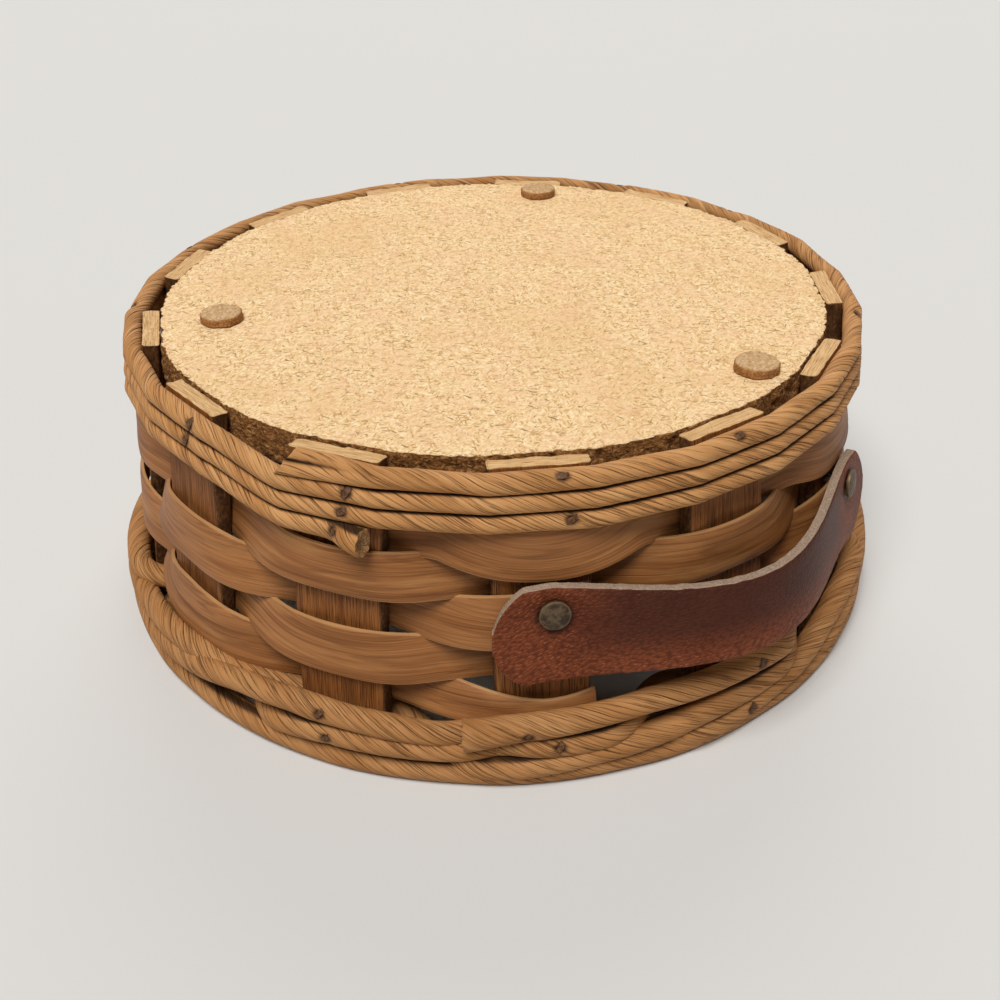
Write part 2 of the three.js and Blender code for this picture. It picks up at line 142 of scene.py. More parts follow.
# Winding round the base end
WINDING_DIAMETER = 5.2
WINDING_PLUMP = 0.25
WINDING_RISE = 5.25
WINDING_STEP = 17
WINDING_DROP = 0.2
WINDING_TURNS = 3
WINDING_START = -54.2
WINDING_OVERLAP = 11.2
WINDING_TOP = BASE_HEIGHT - WINDING_DROP - WINDING_DIAMETER / 2
WINDING_LAY = 29
WINDING_TIP = 16
WINDING_TIP_OUT = 0.4
WINDING_TIP_LIFT = 0.5
WINDING_WANDER = 0.15
WINDING_BARE = 0.02
WINDING_TAIL = 13
WINDING_TAIL_OUT = 3.6
WINDING_TAIL_DROP = 0.1

# Rim cord and wale
RIM_DIAMETER = 6
RIM_PLUMP = 0.9
RIM_RISE = 6.5
RIM_LAY = 35
RIM_CORD_START = 150
RIM_RODS = 3
RIM_FIRST_STAKE = 10
RIM_CUT_GAP = 1
RIM_STAND = 1.3
RIM_SETTLE = 2.5
RIM_GIVE = 4.5
RIM_SETTLING = (1.7, 0.8)
RIM_GIVING = (1.3, 0.5)
RIM_REGAINING = (3.3, 0.7)
RIM_LEAST = 5.2
RIM_TUCK_RUN = 9
CROSSING_START = 0.25
RIM_CORD_LEVEL = RIM_DIAMETER * 0.4
RIM_CORD_SHOWN = 3
RIM_CORD_REACH = 12.1
RIM_SEAM_OUT = 4
RIM_SEAM_UP = 2.6
RIM_LOW = RIM_CORD_LEVEL + RIM_RISE * (0.5 + CROSSING_START)
RIM_HIGH = RIM_LOW + (RIM_RODS - 1) * RIM_RISE
RIM_TOP = RIM_HIGH + RIM_DIAMETER / 2

# The rods of the wale: rod, first and last place in stakes, how far its start stands out and its end
# lies in, and the places, reach out and heights where it leaves the even round
RIM_RUNS = (
    (0, 1.63, 3.9, 1.6, 0, (
        (1.63, 1, 17.2), (2, 1, 18.4), (2.5, 1, 20.6), (3, 1, 19.8),
        (3.3, 1, 19.4), (3.6, 0.3, 18.6), (3.9, 0, 18),
    )),
    (0, 1.78, 14.72, -2.5, 3, (
        (12.75, 1, 8.9), (13, 1.06, 11.6), (13.25, 1.1, 14.6), (13.5, 1.05, 16.6),
        (13.8, 1, 17.2), (14.3, 1, 16.2), (14.72, 1, 14.6),
    )),
    (1, 2, 14, 0, 0, (
        (12.6, 1, 14.4), (12.9, 1, 15.6), (13.15, 0.95, 16), (13.4, 0.8, 15), (13.7, 0.4, 13.6), (14, 0, 13),
    )),
    (2, 1, 14.82, 0, 3, ((14, 1, 10.5), (14.4, 1, 10.8), (14.82, 1, 10.8))),
)

# Splint
WEAVER_WIDTH = 11.6
WEAVER_THICK = 1.6
WEAVER_ROOM = 1.8
WEAVER_GAP = 0.5
WEAVER_TOP = 76.9
WEAVER_FIRST_STAKE = 11
WEAVER_LAST = 53
WEAVER_FLATNESS = 0.08
WEAVER_STEPS = 20
WEAVER_FACE_POINTS = 11
WEAVER_LEAN = 1.6
WEAVER_OVER = 0.3
WEAVER_DIP = 6.4
WEAVER_CLEAR = (50.6, 0.3)
WEAVER_WAVER = 0.3
WEAVER_THIN = 0.5
WEAVER_EDGE = 0.985
WEAVER_UNEVEN = 0.06
WEAVER_FIBRE = (1, 1, 0.08)
WEAVER_DROP = WEAVER_WIDTH + WEAVER_GAP
WEAVER_FLOOR = RIM_TOP + WEAVER_GAP
WAVE_PEAK = 1 - WEAVER_FLATNESS

# How much wider the splint lies over the stakes: place along it, above its top and below its low edge
WEAVER_ROWS = ((1, 0, 4.3), (13, 0.5, 0.4), (25, 4.4, -0.4), (39, 1.9, 1.2), (51, 5.8, 1.0), (53, -4.0, 1.0))

# Leather straps and rivets
STRAP_WIDTH = 27
STRAP_WAIST = 22
STRAP_SINK = 1.7
STRAP_SAG = 0.9
STRAP_DROOP = 1.6
STRAP_DRAW = 0.961
RIVET_INWARD = 2.2
STRAP_THICK = 3.2
STRAP_BOW = 10
STRAP_TAIL = 16
STRAP_TIP = 6
STRAP_CORNER = 8
STRAP_CORNER_POINTS = 16
STRAP_STEP = 1.2
STRAP_FACE_POINTS = 25
STRAP_SOFTEN = 0.3
STRAP_EDGE = (0.72, 0.3)
STRAP_EDGE_PROUD = 1.012
STRAP_WANDER = 0.25
STRAP_RAGGED = 0.12
HANDLES = {"right": (0, 48.3), "left": (6, 46.5)}
RIVET_RISE = 4
RIVET_HEAD = 8.2
RIVET_HEAD_THICK = 1.3
RIVET_SHANK = 3.4
RIVET_TAIL = 6.2
RIVET_TAIL_THICK = 1
RIVET_DENT = 0.4
RIVET_DENT_REACH = 6.5
RIVET_SHADE = 0.9
RIVET_SHADE_DARK = 0.8
RIVET_DOME = 0.9
RIVET_BEATEN = 0.05
RIVET_BEND = (0.05, 1.2, 9)
RIVET_PEEN = (0.6, 0.4)
RIVET_RIM_HIGHLIGHT = (0.6, 0.5)
RIVET_EDGE = ((0.05, 0.6), (0, 0.35), (0.1, -0.15))
WASHER_DIAMETER = 9.5
WASHER_THICK = 0.9
WASHER_EASE = 0.2
ROUND_SEGMENTS = 48

# Staples through the cords, and half of their bend: along and out from its middle. On the winding:
# turns down, degrees round, degrees up from outward and tilt. On the rim: run of the wale, place in
# stakes, degrees up from outward and tilt.
STAPLE_BEND = ((0, 0.18), (1.35, 0.1), (1.7, -0.15), (1.8, -0.6), (1.8, -2))
STAPLE_SIDES = 12
STAPLE_SQUARE = 0.25
STAPLE_WIDTH = 1.5
STAPLE_THICK = 0.5
STAPLE_SINK = 0.7
WINDING_STAPLES = (
    (1, -45.5, 28, 60), (2, -46.3, 22, 30), (3, -47.1, 25, 40), (2, -17.5, 20, 25), (0, -18.5, 50, 5),
    (0, 6.4, 55, 10), (0, -68, 55, 20), (1, -71, 20, 70), (2, -73, 15, 65),
)
RIM_STAPLES = (
    (0, 1.9, -15, 60), (1, 2.04, 20, 60), (1, 13.95, 15, 55), (3, 13.97, 0, 40), (0, 3.1, 10, 80),
    (2, 3.03, 5, 60), (2, 6.0, 10, 60), (3, 5.0, 10, 50), (1, 8.0, 5, 70), (3, 8.1, 15, 60),
    (2, 9.0, 10, 60), (1, 11.0, 10, 50), (3, 11.1, 0, 60), (2, 12.0, 10, 55),
)
STAPLE_THIRDS = (0, 120, 240)

# Camera, in the frame of the basket
CAMERA_PLACE = (312.257, -155.929, 238.237)
CAMERA_LOOK = (-0.748678, 0.377486, -0.544963)
CAMERA_UP = (-0.479207, 0.259871, 0.838349)
CAMERA_LENS = 43.165
CAMERA_SENSOR = 36

# Lamps with their place, spread in degrees and power, the light of the room on the basket, the pale
# backdrop that is seen, and the floor with its side in metres
LAMPS = (("key", (0.85, -1.0, 2.81), 32, 2.97), ("fill", (-2.2, 1.3, 1.95), 40, 0.75))
WORLD_LIGHT = 0.15
BACKDROP = 0.7
BACKDROP_COLOR = "#fffdf9"
FLOOR_SIZE = 80
FLOOR_COLOR = "#d2d0cc"

STAKE_PITCH = TAU / STAKE_COUNT
FIRST_TURN = (math.pi - 6 * STAKE_PITCH) / 2
WALL_SLOPE = (WALL_RADIUS_RIM - WALL_RADIUS_BASE) / BASE_HEIGHT
LEAN = math.atan(WALL_SLOPE)
STAKE_DEPTH = STAKE_THICK / math.cos(LEAN)


# Places on the wall


def stake_turn(stake):
    return FIRST_TURN + stake * STAKE_PITCH


def wall_radius(z):
    return WALL_RADIUS_RIM - WALL_SLOPE * z


def outside_stakes(z):
    return np.hypot(wall_radius(z), STAKE_WIDTH / 2) + FIT


def inside_stakes(z):
    return wall_radius(z) - STAKE_DEPTH - FIT


def off_stake(turn):
    """Angle from the middle of the nearest stake."""
    return np.abs((turn - FIRST_TURN + STAKE_PITCH / 2) % STAKE_PITCH - STAKE_PITCH / 2)


def half_stake(radius):
    """Angle from the middle of a stake to its edge, as seen from the axis."""
    return np.arctan(STAKE_WIDTH / 2 / radius)


def angle_from(turn, middle):
    """Angle from a middle, between minus and plus half a turn."""
    return np.angle(np.exp(1j * (turn - middle)))


def taut(turn, z):
    """Radius of a line pulled tight over the stakes: flat across each and straight between."""
    wall = wall_radius(z)
    off = off_stake(turn)
    edge = half_stake(wall)
    corner = np.hypot(wall, STAKE_WIDTH / 2)
    between = corner * np.cos(STAKE_PITCH / 2 - edge) / np.cos(STAKE_PITCH / 2 - off)
    return np.where(off < edge, wall / np.cos(off), between)


def together(*parts):
    return np.stack(np.broadcast_arrays(*parts), -1)


def polar(radius, turn, z):
    return together(radius * np.cos(turn), radius * np.sin(turn), z)


def on_stake(turn, points):
    """Points given out of, across and along a stake, in the frame of the basket."""
    out, across, along = np.moveaxis(points, -1, 0)
    radial = WALL_RADIUS_RIM + out * math.cos(LEAN) - along * math.sin(LEAN)
    z = out * math.sin(LEAN) + along * math.cos(LEAN)
    x = radial * math.cos(turn) - across * math.sin(turn)
    y = radial * math.sin(turn) + across * math.cos(turn)
    return together(x, y, z)


# Seeded unevenness


def waves(x, seed, longest, shortest, count=6):
    """A smooth random line through x, about -1 to 1, with waves between two lengths."""
    rng = np.random.default_rng(seed)
    rates = TAU / rng.uniform(shortest, longest, count)
    phases = rng.uniform(0, TAU, count)
    return np.sin(np.multiply.outer(x, rates) + phases).sum(-1) / math.sqrt(2 * count)


def rough(points, seed, longest, shortest, count=28):
    """Smooth random unevenness in space, about -1 to 1."""
    rng = np.random.default_rng(seed)
    ways = unit(rng.normal(size=(count, 3)))
    ways *= TAU / rng.uniform(shortest, longest, (count, 1))
    phases = rng.uniform(0, TAU, count)
    return np.sin(points @ ways.T + phases).sum(-1) / math.sqrt(2 * count)


def unit(vectors):
    return vectors / np.linalg.norm(vectors, axis=-1, keepdims=True)


def bell(x, power=2):
    return np.exp(-(x**power))


def smooth(x, start=0, run=1):
    """From 0 at the start to 1 after the run."""
    share = np.clip((x - start) / run, 0, 1)
    return share * share * (3 - 2 * share)


# Meshes


def added(name, data):
    made = bpy.data.objects.new(name, data)
    bpy.context.scene.collection.objects.link(made)
    return made


class Body:
    """One or more closed skins in a mesh, with the marks that the materials read."""

    def __init__(self):
        self.points = []
        self.faces = []
        # The third mark is painted shade: in creases, slits, seams, dents and torn ends, and round the
        # rivets.
        self.marks = {"grain": [], "raw": [], "painted_shade": []}
        self.count = 0

    def skin(self, rings, grain, raw=0.0, painted_shade=0.0):
        """A closed skin through rings, each run from outward towards upward."""
        steps, sides = rings.shape[:2]
        index = self.count + np.arange(steps * sides).reshape(steps, sides)
        beside = np.roll(index, -1, axis=1)
        quads = np.stack([index[:-1], index[1:], beside[1:], beside[:-1]], -1)
        self.faces += quads.reshape(-1, 4).tolist()
        self.faces += [index[0].tolist(), index[-1, ::-1].tolist()]
        self.points.append(rings.reshape(-1, 3))
        self.marks["grain"].append(grain.reshape(-1, 3))
        for name, value in (("raw", raw), ("painted_shade", painted_shade)):
            self.marks[name].append(np.broadcast_to(value, (steps, sides)).reshape(-1))
        self.count += steps * sides

    def piece(self, name, material, sharp=40):
        mesh = bpy.data.meshes.new(name)
        mesh.from_pydata((np.concatenate(self.points) * MM).tolist(), [], self.faces)
        for mark, values in self.marks.items():
            values = np.concatenate(values).astype(np.float32)
            kind, key = ("FLOAT_VECTOR", "vector") if values.ndim == 2 else ("FLOAT", "value")
            attribute = mesh.attributes.new(mark, kind, "POINT")
            attribute.data.foreach_set(key, values.ravel())
        mesh.shade_smooth()
        mesh.set_sharp_from_angle(angle=math.radians(sharp))
        mesh.materials.append(material)
        return added(name, mesh)


def dress(piece, slot, *nodes, body="basket"):
    """The piece rides on a body and stands for its nodes."""
    if body:
        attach(piece, body)
    if nodes:
        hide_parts(*nodes)
    return piece


def frame_along(route):
    """Unit vectors along a route, out from the basket and up."""
    along = unit(np.gradient(route, axis=0))
    outward = unit(np.cross(along, UP))
    return along, outward, np.cross(outward, along)


def run_of(route):
    steps = np.linalg.norm(np.diff(route, axis=0), axis=1)
    return np.concatenate([[0], np.cumsum(steps)])


def strip_lay(seed):
    """Angles round a cord where the columns of its mesh lie on its strips of paper."""
    widths = np.random.default_rng(seed).uniform(*STRIP_WIDTHS, STRIPS)
    widths *= TAU / widths.sum()
    starts = np.cumsum(widths) - widths
    return (starts[:, None] + widths[:, None] * STRIP_PLACES).ravel()


def creases(length, seed):
    """Creases between the strips, which come and go along a cord."""
    mean, swing = CREASE_STRENGTH
    strengths = [mean + swing * waves(length, seed + 5 * k, 60, 10) for k in range(STRIPS + 1)]
    strengths = np.clip(np.array(strengths).T, *CREASE_LIMITS)
    strengths[:, -1] = strengths[:, 0]
    dips = np.array(STRIP_DIPS)
    halves = np.arange(len(dips)) > len(dips) / 2
    sides = [strengths[:, k : k + 2, None] for k in range(STRIPS)]
    strength = np.stack([np.where(halves, side[:, 1], side[:, 0]) for side in sides], 1)
    return (strength * dips).reshape(len(length), -1)


def press(dents, size, painted_shade, length, turn, radius):
    """Staples press dents into a cord, given as places along it and angles round it, and paint shade into
    them.
    """
    for index, angle in dents:
        near = slice(max(index - DENT_SPAN, 0), index + DENT_SPAN + 1)
        apart = angle_from(turn[near], angle) * radius
        push = np.exp(-((length[near] - length[index])[:, None] ** 2 + apart**2) / DENT_REACH**2)
        size[near] -= DENT_DEPTH * push
        painted_shade[near] = np.maximum(painted_shade[near], DENT_SHADE * push)


def cord(body, route, radius, lay_length, seed, flare=(0, 0), beak=0, floor=None, dents=(), seams=(0, 0)):
    """Cord of twisted paper along a route. The columns of its mesh follow the lay. Flare widens its
    ends, beak is the depth of the slit in a flat start, and seams say how much painted shade it gets
    where another cord lies over it and under it. Its creases, dents, slit and torn ends get painted shade
    too."""
    lay = strip_lay(seed)
    length = run_of(route)
    twist = length
    if beak:
        lay = lay + TAU / 4 - BEAK_TILT
        twist = length - WINDING_TIP * (1 - np.exp(-length / WINDING_TIP))
    turn = lay - TAU * twist[:, None] / lay_length
    # The creases' strength also sets their painted shade.
    painted_shade = creases(length, seed)
    size = radius * (1 + CORD_SWELL * waves(length, seed + 97, 70, 18)[:, None])
    size = size + radius * CORD_OVAL * np.cos(2 * turn + 2 * waves(length, seed + 98, 90, 30)[:, None])
    size = size - CREASE_DEPTH * painted_shade
    press(dents, size, painted_shade, length, turn, radius)
    for touched, middle in zip(seams, (TAU / 4, -TAU / 4)):
        apart = angle_from(turn, middle) / SEAM_REACH
        painted_shade = np.maximum(painted_shade, np.reshape(touched, (-1, 1)) * bell(apart, 4))
    left = length[-1] - length
    flared = 1 + flare[0] * np.exp(-length / FLARE_LENGTH) + flare[1] * np.exp(-left / FLARE_LENGTH)
    size = size * flared[:, None]
    flat = bell(length / WINDING_TIP)[:, None] * (beak > 0)
    mouth = bell(angle_from(turn, TAU / 4 - BEAK_TILT) / BEAK_SLIT) * flat
    size = size - beak * mouth
    # Painted shade in the slit of the flat start.
    painted_shade = np.maximum(painted_shade, mouth)
    wide = (1 + BEAK_FLAT * flat) * size * np.cos(turn + BEAK_TILT)
    thick = (1 - BEAK_FLAT * flat) * size * np.sin(turn + BEAK_TILT)
    side = wide * math.cos(BEAK_TILT) + thick * math.sin(BEAK_TILT)
    rise = thick * math.cos(BEAK_TILT) - wide * math.sin(BEAK_TILT)
    close_cord(body, route, radius, seed, floor, lay, side, rise, flat, painted_shade)


def close_cord(body, route, radius, seed, floor, lay, side, rise, flat, painted_shade):
    """The skin of a cord, closed by torn ends. Side and rise are its points out of and above its route."""
    length = run_of(route)
    ends = np.array(CORD_ENDS)
    first = np.zeros(len(ends), int)
    pick = np.concatenate([first, np.arange(len(route)), first - 1])
    share = np.concatenate([ends[::-1, 0], np.ones(len(route)), ends[:, 0]])[:, None]
    ahead = np.concatenate([-ends[::-1, 1], np.zeros(len(route)), ends[:, 1]])
    side = side[pick] * share
    rise = rise[pick] * share
    to_end = np.minimum(length, length[-1] - length)[pick]
    torn = TORN_DEPTH * rough(np.stack([side, rise, 0 * rise + seed], -1), seed, 4, 0.8)
    torn = torn * np.exp(-to_end / TORN_REACH)[:, None] + BEAK_SLANT * flat[pick] * rise
    along, outward, upward = (axis[pick][:, None] for axis in frame_along(route))
    rings = route[pick][:, None] + (ahead[:, None] + torn)[..., None] * along
    rings = rings + side[..., None] * outward + rise[..., None] * upward
    if floor is not None:
        rings[..., 2] = np.maximum(rings[..., 2], floor)
    far = length[pick][:, None] + 1000 * seed
    grain = polar(radius * share, lay, far)
    cut = (share < 1).astype(float)
    # Torn ends get painted shade towards their middle.
    painted_shade = np.where(cut > 0, CUT_SHADE - share, painted_shade[pick])
    body.skin(rings, grain, raw=cut, painted_shade=np.clip(painted_shade, 0, 1))


def turned(profile, segments):
    """Rings round Z from [radius, height] pairs that run from the top down."""
    turn = np.linspace(0, TAU, segments, endpoint=False)
    return np.array([polar(radius, turn, height) for radius, height in profile])


# Materials


def paint(code):
    """A colour written as in a paint program, as the linear values that shaders take."""
    values = np.array([int(code[i : i + 2], 16) for i in (1, 3, 5)]) / 255
    linear = np.where(values <= 0.04045, values / 12.92, ((values + 0.055) / 1.055) ** 2.4)
    return (*linear.tolist(), 1.0)


class Look:
    """A material, or the world, built from its nodes."""

    def __init__(self, name, color=None, world=False):
        self.color = color
        owners = bpy.data.worlds if world else bpy.data.materials
        self.owner = owners.new(name)
        self.owner.use_nodes = True
        self.tree = self.owner.node_tree

    def feed(self, socket, value):
        if isinstance(value, bpy.types.NodeSocket):
            self.tree.links.new(value, socket)
        else:
            socket.default_value = paint(value) if isinstance(value, str) else value

    def add(self, kind, inputs, **settings):
        node = self.tree.nodes.new(kind)
        for name, value in settings.items():
            setattr(node, name, value)
        for name, value in inputs.items():
            self.feed(node.inputs[name], value)
        return node

    def mark(self, name):
        node = self.add("ShaderNodeAttribute", {}, attribute_name=name)
        return node.outputs["Vector" if name == "grain" else "Fac"]

    def grain(self, *scale):
        """Places in the grain, with a scale for each way. The first one is repeated for those left out."""
        return self.scaled(self.mark("grain"), scale[:1] * (3 - len(scale)) + scale)

    def parts(self):
        return self.add("ShaderNodeSeparateXYZ", {0: self.mark("grain")}).outputs

    def scaled(self, vector, scale):
        return self.add("ShaderNodeVectorMath", {0: vector, 1: scale}, operation="MULTIPLY").outputs[0]

    def swung(self, angle, axis):
        inputs = {"Vector": self.mark("grain"), "Angle": angle}
        return self.add("ShaderNodeVectorRotate", inputs, rotation_type=axis).outputs[0]

    def noise(self, *scale, **settings):
        return self.noise_at(self.grain(*scale), **settings)

    def noise_at(self, vector, detail=3.0, roughness=0.55, distortion=0.0):
        inputs = {"Vector": vector, "Scale": 1.0, "Detail": detail, "Roughness": roughness}
        return self.add("ShaderNodeTexNoise", {**inputs, "Distortion": distortion}).outputs[0]

    def cells(self, vector):
        """Cells round scattered points: how far the nearest point is, and a random share for each."""
        found = self.add("ShaderNodeTexVoronoi", {"Vector": vector, "Scale": 1.0}).outputs
        shares = self.add("ShaderNodeSeparateColor", {"Color": found["Color"]}).outputs
        return found["Distance"], shares[0]

    def math(self, operation, a, b=0.0):
        return self.add("ShaderNodeMath", {0: a, 1: b}, operation=operation).outputs[0]

    def times(self, a, b):
        return self.math("MULTIPLY", a, b)

    def span(self, value, low, high):
        """0 below low and 1 above high, smooth between."""
        inputs = {"Value": value, "From Min": low, "From Max": high}
        return self.add("ShaderNodeMapRange", inputs, interpolation_type="SMOOTHSTEP").outputs[0]

    def between(self, value, low, high):
        inputs = {"Value": value, "To Min": low, "To Max": high}
        return self.add("ShaderNodeMapRange", inputs).outputs[0]

    def ramp(self, value, *stops):
        node = self.add("ShaderNodeValToRGB", {"Fac": value})
        elements = node.color_ramp.elements
        while len(elements) < len(stops):
            elements.new(1.0)
        for element, (place, code) in zip(elements, stops):
            element.position = place
            element.color = paint(code)
        return node.outputs["Color"]

    def base(self, value, *stops):
        self.color = self.ramp(value, *stops)

    def cover(self, share, tone):
        """Another tone over the colour where the share says."""
        inputs = {0: share, 6: self.color, 7: tone}
        self.color = self.add("ShaderNodeMix", inputs, data_type="RGBA").outputs[2]

    def tint(self, share, amount, tone):
        self.cover(self.times(share, amount), tone)

    def finish(self, roughness, height=None, depth=0.0, specular=0.5, metallic=0.0):
        """The material, with a relief where its depth in millimetres is given."""
        sockets = {"Base Color": self.color, "Roughness": roughness, "Metallic": metallic}
        sockets["Specular IOR Level"] = specular
        if depth:
            inputs = {"Height": height, "Strength": 1.0, "Distance": depth * MM}
            sockets["Normal"] = self.add("ShaderNodeBump", inputs).outputs[0]
        for name, value in sockets.items():
            self.feed(self.tree.nodes["Principled BSDF"].inputs[name], value)
        return self.owner


def board_look():
    look = Look("pressed_board")
    chips = look.noise(0.7, detail=8, roughness=0.8, distortion=1)
    look.base(chips, (0.35, "#bd9058"), (0.45, "#e0ba85"), (0.56, "#f2d5a8"), (0.67, "#fce8c4"))
    for turn, size, dark, share in BOARD_FLECKS:
        swung = look.scaled(look.swung(turn, "Z_AXIS"), (0.3 * size, 1.4 * size, 1.2))
        bent = look.times(look.noise(0.35), 2.5)
        swung = look.add("ShaderNodeVectorMath", {0: swung, 1: bent}, operation="ADD").outputs[0]
        far, pick = look.cells(swung)
        near = look.span(far, 0.5, 0.2)
        fleck = look.times(look.span(pick, 1 - share, 1 - share * 0.6), near)
        look.tint(fleck, 0.8, dark)
    patches = look.noise(0.028)
    look.tint(look.span(patches, 0.45, 0.75), 0.4, "#d8ae76")
    blush = look.noise(0.09)
    look.tint(look.span(blush, 0.45, 0.62), 0.3, "#e6b88f")
    crumb = look.noise(0.8, 1.7, detail=6, roughness=0.75, distortion=0.6)
    edge = look.ramp(crumb, (0.34, "#2f1c0c"), (0.46, "#7c4f27"), (0.56, "#b07840"), (0.65, "#e0b67a"))
    look.cover(look.span(look.mark("raw"), 0.3, 0.8), edge)
    coarse = look.times(look.times(look.mark("raw"), crumb), 4)
    height = look.math("ADD", crumb, coarse)
    return look.finish(0.9, height, 0.16, specular=0.2)


def cork_look():
    look = Look("cork")
    far, tone = look.cells(look.grain(1.5))
    look.base(tone, (0, "#ad8558"), (0.4, "#bd976b"), (0.75, "#c8a57b"), (1, "#d2b28c"))
    specks = look.noise(1.6, detail=5, roughness=0.7)
    look.tint(look.span(specks, 0.6, 0.7), 0.5, "#7d5836")
    side = look.ramp(specks, (0.35, "#5f3615"), (0.5, "#965f2c"), (0.65, "#bb8448"))
    look.tint(look.mark("raw"), 0.85, side)
    height = look.math("SUBTRACT", look.times(far, -0.6), specks)
    return look.finish(0.9, height, 0.2, specular=0.2)


def stake_look():
    look = Look("stake_wood")
    bands = look.noise(0.5, 0.32, 0.012, detail=5, distortion=0.4)
    look.base(bands, (0.25, "#633818"), (0.45, "#7c4820"), (0.6, "#8d5628"), (0.8, "#6f3f1b"))
    fine = look.noise(3.2, 0.06, detail=4, roughness=0.65)
    look.tint(look.span(fine, 0.45, 0.72), 0.55, "#b47d49")
    pores = look.span(look.noise(4.2, 0.07), 0.55, 0.62)
    look.tint(pores, 0.8, "#2c170a")
    across = look.math("ABSOLUTE", look.parts()[1])
    side = look.span(across, STAKE_WIDTH / 2 - 0.55, STAKE_WIDTH / 2 - 0.2)
    bark = look.noise(1.2, 0.7, detail=6, roughness=0.75)
    bark_color = look.ramp(bark, (0.35, "#3a2412"), (0.55, "#6a4425"), (0.7, "#99693a"))
    look.cover(side, bark_color)
    end = look.noise(2.6, 0.14, 0.3, detail=5, roughness=0.7)
    end_color = look.ramp(end, (0.32, "#946638"), (0.45, "#d2a46c"), (0.6, "#e8bf88"), (0.75, "#f3d29e"))
    look.cover(look.mark("raw"), end_color)
    height = look.math("SUBTRACT", look.times(fine, 0.6), pores)
    height = look.math("ADD", height, look.times(look.times(side, bark), 2.5))
    return look.finish(0.62, height, 0.14, specular=0.2)


def splint_look():
    look = Look("splint_wood")
    bands = look.noise(0.26, 0.3, 0.006, detail=5, distortion=0.7)
    look.base(bands, (0.28, "#774720"), (0.44, "#8f5a2e"), (0.58, "#a36c3e"), (0.78, "#835329"))
    lines = look.noise(3, 0.03, detail=5, roughness=0.65)
    look.tint(look.span(lines, 0.5, 0.72), 0.45, "#c0884f")
    streaks = look.span(look.noise(1.1, 0.012, distortion=0.5), 0.58, 0.67)
    look.tint(streaks, 0.3, "#472710")
    figure = look.noise(0.13, 0.007, detail=2, distortion=0.4)
    rings = look.span(look.math("SINE", look.times(figure, 70)), 0.35, 1)
    look.tint(rings, 0.38, "#643a19")
    thin = look.span(look.noise(4.4, 0.03), 0.56, 0.64)
    look.tint(thin, 0.5, "#5d3717")
    stain = look.noise(0.05, 0.02)
    look.tint(look.span(stain, 0.42, 0.68), 0.4, "#6e4220")
    pale = look.noise(0.2, 0.03, detail=4)
    look.tint(look.span(pale, 0.5, 0.68), 0.4, "#b98550")
    look.tint(look.mark("raw"), 0.55, "#c79a66")
    height = look.math("SUBTRACT", look.times(lines, 0.7), look.times(streaks, 0.6))
    shine = look.between(lines, 0.42, 0.62)
    return look.finish(shine, height, 0.12, specular=0.25)


def rush_look(name, wear_and_painted_shading):
    look = Look(name)
    tone = look.noise(0.12, 0.014, detail=4)
    look.base(tone, (0.3, "#ac7640"), (0.48, "#bd8650"), (0.62, "#c8925b"), (0.8, "#b27c46"))
    strips = look.noise(0.6, 0.02)
    look.tint(look.span(strips, 0.5, 0.36), 0.25, "#8f5d2f")
    look.tint(look.span(strips, 0.54, 0.7), 0.35, "#dcae76")
    fibres = look.noise(2.8, 0.05, detail=5, roughness=0.62)
    look.tint(look.span(fibres, 0.52, 0.7), 0.25, "#dfb681")
    lines = look.span(look.noise(1.8, 0.035), 0.61, 0.645)
    thin = look.span(look.noise(3.4, 0.06, detail=2), 0.6, 0.65)
    lines = look.math("MAXIMUM", lines, thin)
    look.tint(lines, 0.75, "#623c1e")
    # Painted shade: a darker copy of the rush for the rim.
    look.cover(wear_and_painted_shading, "#7f5029")
    # Painted shade in creases, slits, seams, dents and torn ends.
    deep = look.span(look.mark("painted_shade"), 0.15, 0.8)
    look.tint(deep, 0.95, "#241206")
    torn = look.ramp(fibres, (0.35, "#6a4a2c"), (0.5, "#a17a50"), (0.65, "#c9a376"))
    look.tint(look.mark("raw"), 0.7, torn)
    height = look.math("SUBTRACT", fibres, look.times(lines, 0.8))
    return look.finish(0.66, height, 0.2, specular=0.2)


